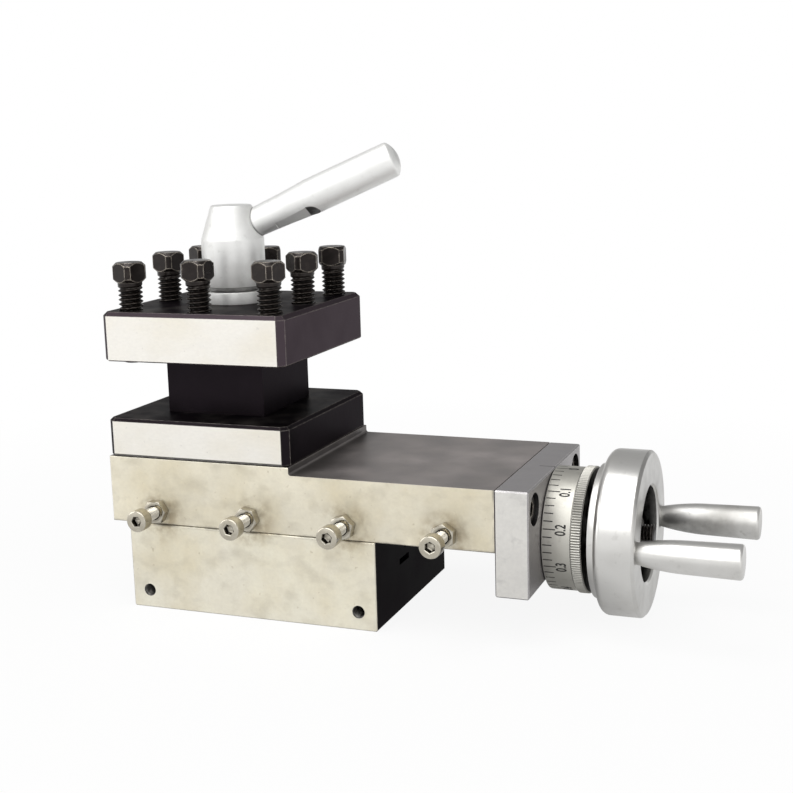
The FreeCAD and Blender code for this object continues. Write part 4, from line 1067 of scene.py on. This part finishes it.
class TURRET_OT_dial(bpy.types.Operator):
    """The graduated dial with its knurled ring, marks and figures"""

    bl_idname = "turret.dial"
    bl_label = "Dial"

    def execute(self, context):
        dial = context.scene.turret_dial
        low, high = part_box("dial")
        left, right = low.x / MM, high.x / MM
        radius, bore, groove, knurl_radius, step = 19.5, 12.05, 19.3, 20.0, left + 9.0
        origin = (0, 0, SHAFT_Z)
        band = eased(
            [
                (98, bore), (left, bore), (left, radius), (step - 0.25, radius),
                (step - 0.2, groove), (step + 0.3, groove), (step + 0.3, bore), (98, bore),
            ],
            0.22,
            3,
        )

        def oil(along, out, around):
            """Darkening: painted shade on the dial's near end, which faces the bracket, and in the
            groove beside the knurl; towards the top, where it is read, old oil and painted shade.
            """
            # Darker towards the top: partly old oil, partly painted shade.
            read = 0.22 * np.clip(4 * np.sin(around) - 3, 0, 1)
            return np.where(along < left + 0.05, 0.8, np.where(out < radius - 0.1, 0.35, read))

        around = circle_steps(dial.teeth * 6)
        wave = np.abs((around * dial.teeth / (2 * math.pi)) % 1.0 * 2 - 1)
        ridge = np.clip(1.5 * wave - 0.25, 0, 1)
        depth = dial.knurl_depth / MM
        # The outline of the knurled ring, how much of the knurl's depth each row takes, and grime:
        # painted shade and old oil in the knurl's roots, at its shoulders and in the bore.
        rows = [
            (103, bore, 0, 1), (step, bore, 0, 1), (step, 19.55, 0.3, 0.4),
            (step + 0.25, knurl_radius, 1, 0), (right - 0.35, knurl_radius, 1, 0),
            (right - 0.05, 19.6, 0.3, 0.3), (right, 19.3, 0, 1), (right, bore, 0, 1),
        ]
        rows = [
            (along, out - share * depth * ridge, np.maximum(dirt_and_shade, share * ridge * 0.75))
            for along, out, share, dirt_and_shade in rows
        ]
        knurl = lofted(rows, around, 0.0, origin, "X", True)
        skins = {"dial steel": [turned(band, 180, origin, "X", True, oil), knurl]}
        piece("knurled_dial", skins, "dial", "dial", "dial")
        dial_marks(dial, radius * MM, low.x)
        dial_figures(dial, radius * MM)
        return {"FINISHED"}


class TURRET_OT_handwheel(bpy.types.Operator):
    """The handwheel with its boss, rounded rim and a recess darkened by painted shade"""

    bl_idname = "turret.handwheel"
    bl_label = "Handwheel"

    def execute(self, context):
        low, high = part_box("handwheel")
        left, right = low.x / MM, high.x / MM
        bore, boss, hub, oiled, web, rim, recess = 4.0, 12.0, 14.0, 20.2, 21.2, 26.0, 15.0
        bore_middle, boss_end, back, rim_start, floor = 104, 105.3, 107.25, right - 12.7, right - 9.0
        rounding, turn_in = 2.4, np.linspace(0, math.pi / 2, 9)
        shoulder = np.stack([
            rim_start + rounding * (1 - np.cos(turn_in)), rim - rounding + rounding * np.sin(turn_in)
        ], axis=1)
        outside = [
            (bore_middle, bore), (left, bore), (left, boss), (boss_end, boss), (boss_end, hub),
            (back, hub), (back, oiled), (back, web), (rim_start - 0.05, web), (rim_start, web + 0.2),
            *shoulder, (right - 0.9, rim), (right, rim - 0.9), (right, recess + 0.7),
            (right - 0.7, recess),
        ]
        inside = [
            (right - 0.7, recess), (right - 3.5, recess), (floor, recess), (floor, bore),
            (bore_middle, bore),
        ]

        def oil(along, out, around):
            """Darkening: on the hub behind the dial, old oil and painted shade; in the recess, painted
            shade that deepens inwards; on the face, stains and painted shade, darker towards the top.
            """
            # Between dial and wheel: old oil and painted shade.
            behind = (along < back + 0.05) & (out < oiled + 0.1)
            inner = (out < recess + 0.1) & (along > 113)
            # Painted shade, darker deeper in the recess.
            depth = np.clip((right - 0.7 - along) / 1.6, 0, 1)
            # Darker towards the top of the face: stains and painted shade.
            stain_and_shade = 0.14 + 0.22 * np.clip(1.4 * np.sin(around), 0, 1)
            face = np.where((along > right - 0.95) & (out > recess + 0.1), stain_and_shade, 0.0)
            return np.where(behind, 1.0, np.where(inner, depth, face))

        profile = np.concatenate([eased(outside, 0.25, 3), eased(inside, 0.4, 3)[1:]])
        wheel = turned(profile, 144, (0, 0, SHAFT_Z), "X", True, oil)
        skins = {"satin aluminium": [wheel]}
        piece("turned_handwheel", skins, "spindle", "wheel", "handwheel")
        return {"FINISHED"}


class TURRET_OT_handles(bpy.types.Operator):
    """Two tapered handles on the wheel's face"""

    bl_idname = "turret.handles"
    bl_label = "Handles"

    def execute(self, context):
        length, root, waist, neck_length, flat_end, edge = 31, 3.3, 5.0, 14, 4.3, 1.0
        from_axis = 20.5 * MM
        t = np.linspace(0, 1, 14)
        bulge = 1.42 * t * (1 - t)
        neck = np.stack([neck_length * t, root + (waist - root) * t + bulge], axis=1)
        bend = np.linspace(0, math.pi / 2, 7)
        end = np.stack([length - edge + edge * np.sin(bend), flat_end + edge * np.cos(bend)], axis=1)
        core = [(-9, 0), (-9, 2), (0, 2)]
        profile = np.concatenate([core, neck, end, [(length, 0)]])
        around = circle_steps(72)
        # For each handle: its side, its metal, how far the darkening reaches from the root, how dark
        # it is, and how much of it lies below. It is painted shade; on the rear handle a darker copy of
        # the aluminium adds to it.
        handles = {
            "front": (-1, "satin aluminium", 1.5, 0.5, 0.0),
            "rear": (1, "handled aluminium", 36.0, 0.88, 0.8),
        }
        for name, (side, material, far, most, shade_below) in handles.items():
            node = f"wheel_handle_{name}"
            origin = (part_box(node)[1].x - length * MM, side * from_axis, SHAFT_Z)
            fade = np.clip(1 - profile[:, :1] / far, 0, 1) ** 0.7
            # Painted shade: darker at the root and, on the rear handle, below.
            dirt_and_shade = most * fade * (1 - shade_below * (1 + np.sin(around)) / 2)
            rows = set_out(profile[:, 0] * MM, profile[:, 1] * MM, around, origin, AXES["X"])
            handle = {material: [skin(rows, dirt_and_shade)]}
            piece(f"turned_handle_{name}", handle, "spindle", "handles", node)
        return {"FINISHED"}


def washer_skin(inner, outer, thick, ease, count, origin, axis, grime=None):
    """A flat ring that stands on the origin, with eased edges. It closes half way up its bore."""
    corners = [
        (thick / 2, inner), (0, inner), (0, outer), (thick, outer), (thick, inner), (thick / 2, inner)
    ]
    return turned(eased(corners, ease), count, origin, axis, True, grime)


class TURRET_OT_wheel_fasteners(bpy.types.Operator):
    """Washer and nut in the wheel's recess"""

    bl_idname = "turret.wheel_fasteners"
    bl_label = "Wheel fasteners"

    def execute(self, context):
        low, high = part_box("wheel_washer")
        bore, outer, thick, half_flats, nut_thickness = 3.0, 6.5, 1.2, 5.0, 5.0
        ring = washer_skin(bore, outer, thick, 0.15, 60, (low.x, 0, SHAFT_Z), "X")
        spin = math.radians(12)
        nut = hex_nut(half_flats, nut_thickness, bore, (high.x, 0, SHAFT_Z), "X", spin)
        for name, made, slot, node in (
            ("turned_washer", ring, "leadscrew_steel", "wheel_washer"),
            ("turned_nut", nut, "black_cap_screws", "wheel_nut"),
        ):
            piece(name, {"oil-blackened steel": [made]}, "spindle", slot, node)
        return {"FINISHED"}


def lever_skin(origin, swing, rise):
    """The clamp lever along its own slanting axis.

    Its radius along the length is a narrow root, a slow taper and a straight bar, cut by a domed
    end to the root of (the dome's radius squared less the distance from its centre squared).
    Over the two flats the radius is cut to level / cosine of the angle to the flat, where level
    is half the distance over the flats and then follows a round cutter out of the bar. The
    angles crowd to the flats' edges, which lie at the angle whose cosine is level / radius.
    """
    half_flats, cutter, flats_start, flats_end, tilt = 4.6, 7.0, 15, 26, math.radians(-27)
    dome, dome_centre, bar_end, end = 8.976, 51.824, 60, 60.8
    along = np.concatenate([
        [5.0, 5.0], np.linspace(8, 14.98, 30), np.linspace(flats_start, flats_end, 12),
        np.linspace(26.3, 30.4, 16), np.linspace(31, 56.5, 12), np.linspace(57, bar_end, 19),
        bar_end + (end - bar_end) * np.sin(np.linspace(0.1, 1.57, 8)), [end],
    ])
    shape = np.interp(along, (5, 10.45, 19, 29, 61), (5, 5, 5.3, 6, 6))
    cap = np.sqrt(np.clip(dome**2 - np.clip(along - dome_centre, 0, None) ** 2, 0, None))
    # The smaller of bar and dome, with the crease between them eased over half a millimetre.
    ease = np.where(along > 56, 0.4, 0.0)
    shape = (shape + cap - np.hypot(shape - cap, ease)) / 2
    shape = np.clip(shape, 0, None) * 0.999
    shape[[0, -1]] = 0
    risen = np.sqrt(cutter**2 - np.clip(along - flats_end, 0, 0.985 * cutter) ** 2)
    level = np.where(along < flats_start, 100.0, half_flats + cutter - risen)
    edge = np.arccos(np.clip(level / np.maximum(shape, 0.01), -1, 1))
    edge = np.clip(edge, 0.05, None)[:, None]
    over, rest = np.linspace(-1, 1, 9)[None, :], np.linspace(0, 1, 42)[None, 1:-1]
    half = np.concatenate([over * edge, edge + rest * (math.pi - 2 * edge)], axis=1)
    around = tilt + np.concatenate([half, half + math.pi], axis=1)
    side = np.maximum(np.abs(np.cos(around - tilt)), 1e-3)
    radius = np.minimum(shape[:, None], level[:, None] / side)
    down = (math.sin(rise) * math.cos(swing), math.sin(rise) * math.sin(swing), -math.cos(rise))
    sideways = (-math.sin(swing), math.cos(swing), 0)
    forward = (math.cos(rise) * math.cos(swing), math.cos(rise) * math.sin(swing), math.sin(rise))
    rows = set_out(along * MM, radius * MM, around, origin, (down, sideways, forward))
    # Painted shade lies in the cutter's run-out and, in a thin line, at the root beside the hub's
    # cone. The flats' start is a little darker. A little oil has dried on the end.
    out = ((along > 26.5) & (along < 30.3))[:, None]
    step = (np.abs(along - flats_start) < 0.1)[:, None]
    cut = level[:, None] / side < shape[:, None] + 1e-6
    off = rows - np.array(origin)
    hub = np.interp(off[..., 2] + HUB_EYE, *(np.array(HUB_CONE) * MM))
    root = np.clip(1.2 - (np.hypot(off[..., 0], off[..., 1]) - hub) / (0.5 * MM), 0, 1)
    tip = np.clip((along - bar_end) / 0.3, 0, 0.14)[:, None]
    dirt_and_shade = np.where(out & cut, 0.95, np.where(step & cut, 0.2, np.maximum(0.9 * root, tip)))
    return skin(rows, dirt_and_shade)


class TURRET_OT_clamp(bpy.types.Operator):
    """Thrust washer, hub and clamp lever"""

    bl_idname = "turret.clamp"
    bl_label = "Clamp"

    def execute(self, context):
        def underside(along, out, around):
            """Painted shade under the washer."""
            return np.where(along < 0.1, 0.8, 0.0)

        def groove(along, out, around):
            """Painted shade in the groove under the hub: grey, and black where it meets the washer."""
            inside = (out < 8.7) & (along < 1.65)
            return np.where(inside, 1.0 - 0.45 * np.clip(along / 1.3, 0, 1), 0.0)

        origin = (TURRET_X, 0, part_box("thrust_washer")[0].z)
        bore, outer, thick = 6.25, 10.6, 4
        washer = washer_skin(bore, outer, thick, 0.3, 96, origin, "Z", underside)
        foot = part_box("clamp_hub")[0].z
        (cone_start, cone_end), (wide, top) = HUB_CONE
        slim, groove_end = 8.6, 1.6
        outline = [
            (0, 0), (0, slim), (0.5, slim), (groove_end, slim), (groove_end, wide),
            (cone_start, wide), (cone_end, top), (cone_end + 0.35, top - 0.45), (cone_end + 0.35, 0),
        ]
        hub = turned(eased(outline, 0.22, 3), 120, (TURRET_X, 0, foot), "Z", grime=groove)
        lever = lever_skin((TURRET_X, 0, foot + HUB_EYE), LEVER_SWING, LEVER_RISE)
        for name, metal_name, made, body, node in (
            ("turned_thrust_washer", "turned steel", washer, "turret", "thrust_washer"),
            ("turned_hub", "turned steel", hub, "clamp_lever", "clamp_hub"),
            ("turned_lever", "lever steel", lever, "clamp_lever", "lever_arm"),
        ):
            piece(name, {metal_name: [made]}, body, "bright_steel", node)
        return {"FINISHED"}


# Stage

# Where the soft boxes face, and for each its place and how wide it is, in metres.
AIM = (0.03, 0.0, 0.06)
SOFT_BOXES = {
    "key": ((0.05, -0.95, 0.95), 1.2),
    "side": ((-1.0, -0.6, 0.5), 0.8),
    "top": ((-0.12, -0.2, 1.2), 0.55),
    "fill": ((1.0, -0.7, 0.3), 0.8),
}


def stand(data, place, backward, roll=0.0):
    """Puts a lamp or camera at a place, so that it looks away from backward, and leans it."""
    backward = np.array(backward, float)
    backward /= np.linalg.norm(backward)
    right = np.cross((0, 0, 1), backward)
    right /= np.linalg.norm(right)
    up = np.cross(backward, right)
    lean = math.cos(roll) * right + math.sin(roll) * up
    up = math.cos(roll) * up - math.sin(roll) * right
    seen = np.eye(4)
    seen[:3, 0], seen[:3, 1], seen[:3, 2], seen[:3, 3] = lean, up, backward, place
    made = bpy.data.objects.new(data.name, data)
    bpy.context.scene.collection.objects.link(made)
    made.matrix_world = Matrix(seen.tolist())
    return made


def pale_rays(tree):
    """1 for rays from the camera and for mirrored and passed-on ones, else 0."""
    rays = add(tree, "LightPath", out=None)
    total = add(tree, "Math", (rays.outputs["Is Camera Ray"], rays.outputs["Is Glossy Ray"]))
    return add(tree, "Math", (total, rays.outputs["Is Transmission Ray"]), use_clamp=True)


class TURRET_OT_stage(bpy.types.Operator):
    """Camera, soft boxes, pale floor and background"""

    bl_idname = "turret.stage"
    bl_label = "Stage"

    def execute(self, context):
        stage = context.scene.turret_stage
        yaw, pitch = stage.yaw, stage.pitch
        lens = bpy.data.cameras.new("camera")
        lens.lens, lens.sensor_width = stage.lens, 36.0
        lens.clip_start, lens.clip_end = 0.01, 50.0
        backward = (
            math.sin(yaw) * math.cos(pitch), -math.cos(yaw) * math.cos(pitch), math.sin(pitch)
        )
        context.scene.camera = stand(lens, stage.place, backward, stage.roll)
        for name, (place, size) in SOFT_BOXES.items():
            lamp = bpy.data.lights.new(name, "AREA")
            lamp.shape = "SQUARE"
            lamp.size = size
            lamp.energy = getattr(stage, f"{name}_power")
            stand(lamp, place, np.subtract(place, AIM))
        self.room(context, stage)
        self.floor(context)
        context.scene.view_settings.view_transform = "Standard"
        return {"FINISHED"}

    def room(self, context, stage):
        """A white room, darker overhead and most so behind, that the camera sees as plain white."""
        world = bpy.data.worlds.new("pale room")
        context.scene.world = world
        world.use_nodes = True
        tree = world.node_tree
        way = add(tree, "TexCoord", (), "Generated")
        split = add(tree, "SeparateXYZ", (way,), None)
        limits = {"Value": split.outputs["Y"], "From Min": -0.25, "From Max": 0.25}
        limits |= {"To Min": 1 - stage.ceiling, "To Max": 1 - stage.back_wall}
        loss = add(tree, "MapRange", limits, interpolation_type="SMOOTHSTEP")
        limits = {"Value": split.outputs["Z"], "From Min": 0.0, "From Max": 0.22}
        high = add(tree, "MapRange", limits, interpolation_type="SMOOTHSTEP")
        loss = add(tree, "Math", (loss, high), operation="MULTIPLY")
        level = add(tree, "Math", (1.0, loss), operation="SUBTRACT")
        lit = add(tree, "MapRange", {"Value": pale_rays(tree), "To Min": stage.air})
        dimmed = add(tree, "Math", (lit, level), operation="MULTIPLY")
        seen = add(tree, "LightPath", (), "Is Camera Ray")
        strength = add(tree, "Mix", {0: seen, 2: dimmed, 3: 1.0})
        background = tree.nodes["Background"]
        background.inputs["Color"].default_value = (1, 1, 1, 1)
        tree.links.new(strength, background.inputs["Strength"])

    def floor(self, context):
        """White paper that keeps a faint shadow and fades into the room's white."""
        flat = bpy.data.meshes.new("floor")
        flat.from_pydata([(-6, -6, 0), (6, -6, 0), (6, 6, 0), (-6, 6, 0)], [], [(0, 1, 2, 3)])
        floor = bpy.data.objects.new("floor", flat)
        context.scene.collection.objects.link(floor)
        tree, shader = metal("white paper", 0.0, 0.8)
        shader.inputs["Base Color"].default_value = (0.9, 0.9, 0.9, 1)
        flat.materials.append(bpy.data.materials["white paper"])
        # Mirrored rays find a painted shadow in the paper's glow: a little darker close to the turret,
        # and dark under the dial.
        every = (1, 1, 1)
        whole = away(tree, (0, 0, 0), every)
        below = away(tree, (85 * MM, -15 * MM, 0), every)
        close = {"Value": whole, "From Min": 0.14, "From Max": 0.32, "To Min": 0.72, "To Max": 1.0}
        shade = {"Value": below, "From Min": 0.012, "From Max": 0.042, "To Min": 0.36, "To Max": 1.0}
        fade = {"Value": whole, "From Min": 0.1, "From Max": 0.34, "To Min": 0.9, "To Max": 1.0}
        close, shade, fade = (add(tree, "MapRange", limits) for limits in (close, shade, fade))
        level = add(tree, "Math", (close, shade), operation="MULTIPLY")
        seen = add(tree, "LightPath", (), "Is Camera Ray")
        strength = add(tree, "Mix", {0: seen, 2: level, 3: 1.0})
        glow = add(tree, "Emission", {"Color": (1, 1, 1, 1), "Strength": strength})
        share = add(tree, "Math", (pale_rays(tree), fade), operation="MULTIPLY")
        mixed = add(tree, "MixShader", (share, shader.outputs[0], glow))
        tree.links.new(mixed, tree.nodes["Material Output"].inputs["Surface"])


class TURRET_PT_build(bpy.types.Panel):
    """Lists the turret's pieces and sizes"""

    bl_idname = "TURRET_PT_build"
    bl_label = "Tool turret"
    bl_space_type = "VIEW_3D"
    bl_region_type = "UI"
    bl_category = "Turret"

    def draw(self, context):
        layout = self.layout
        for operator in OPERATORS:
            layout.operator(operator.bl_idname)
        for key, group in GROUPS.items():
            box = layout.box()
            box.label(text=group.__doc__)
            for name in group.__annotations__:
                box.prop(getattr(context.scene, key), name)


GROUPS = {
    "turret_threads": TurretThreads,
    "turret_dial": TurretDial,
    "turret_colours": TurretColours,
    "turret_stage": TurretStage,
}

OPERATORS = (
    TURRET_OT_finishes,
    TURRET_OT_blocks,
    TURRET_OT_tool_screws,
    TURRET_OT_gib_screws,
    TURRET_OT_bracket_screws,
    TURRET_OT_leadscrew,
    TURRET_OT_dial,
    TURRET_OT_handwheel,
    TURRET_OT_handles,
    TURRET_OT_wheel_fasteners,
    TURRET_OT_clamp,
    TURRET_OT_stage,
)


def register():
    for key, group in GROUPS.items():
        bpy.utils.register_class(group)
        setattr(bpy.types.Scene, key, PointerProperty(type=group))
    for kind in OPERATORS + (TURRET_PT_build,):
        bpy.utils.register_class(kind)


def unregister():
    for kind in reversed(OPERATORS + (TURRET_PT_build,)):
        bpy.utils.unregister_class(kind)
    for key, group in GROUPS.items():
        delattr(bpy.types.Scene, key)
        bpy.utils.unregister_class(group)


def main():
    """Build every piece in order."""
    register()
    for operator in OPERATORS:
        family, name = operator.bl_idname.split(".")
        getattr(getattr(bpy.ops, family), name)()


if __name__ == "__main__":
    main()
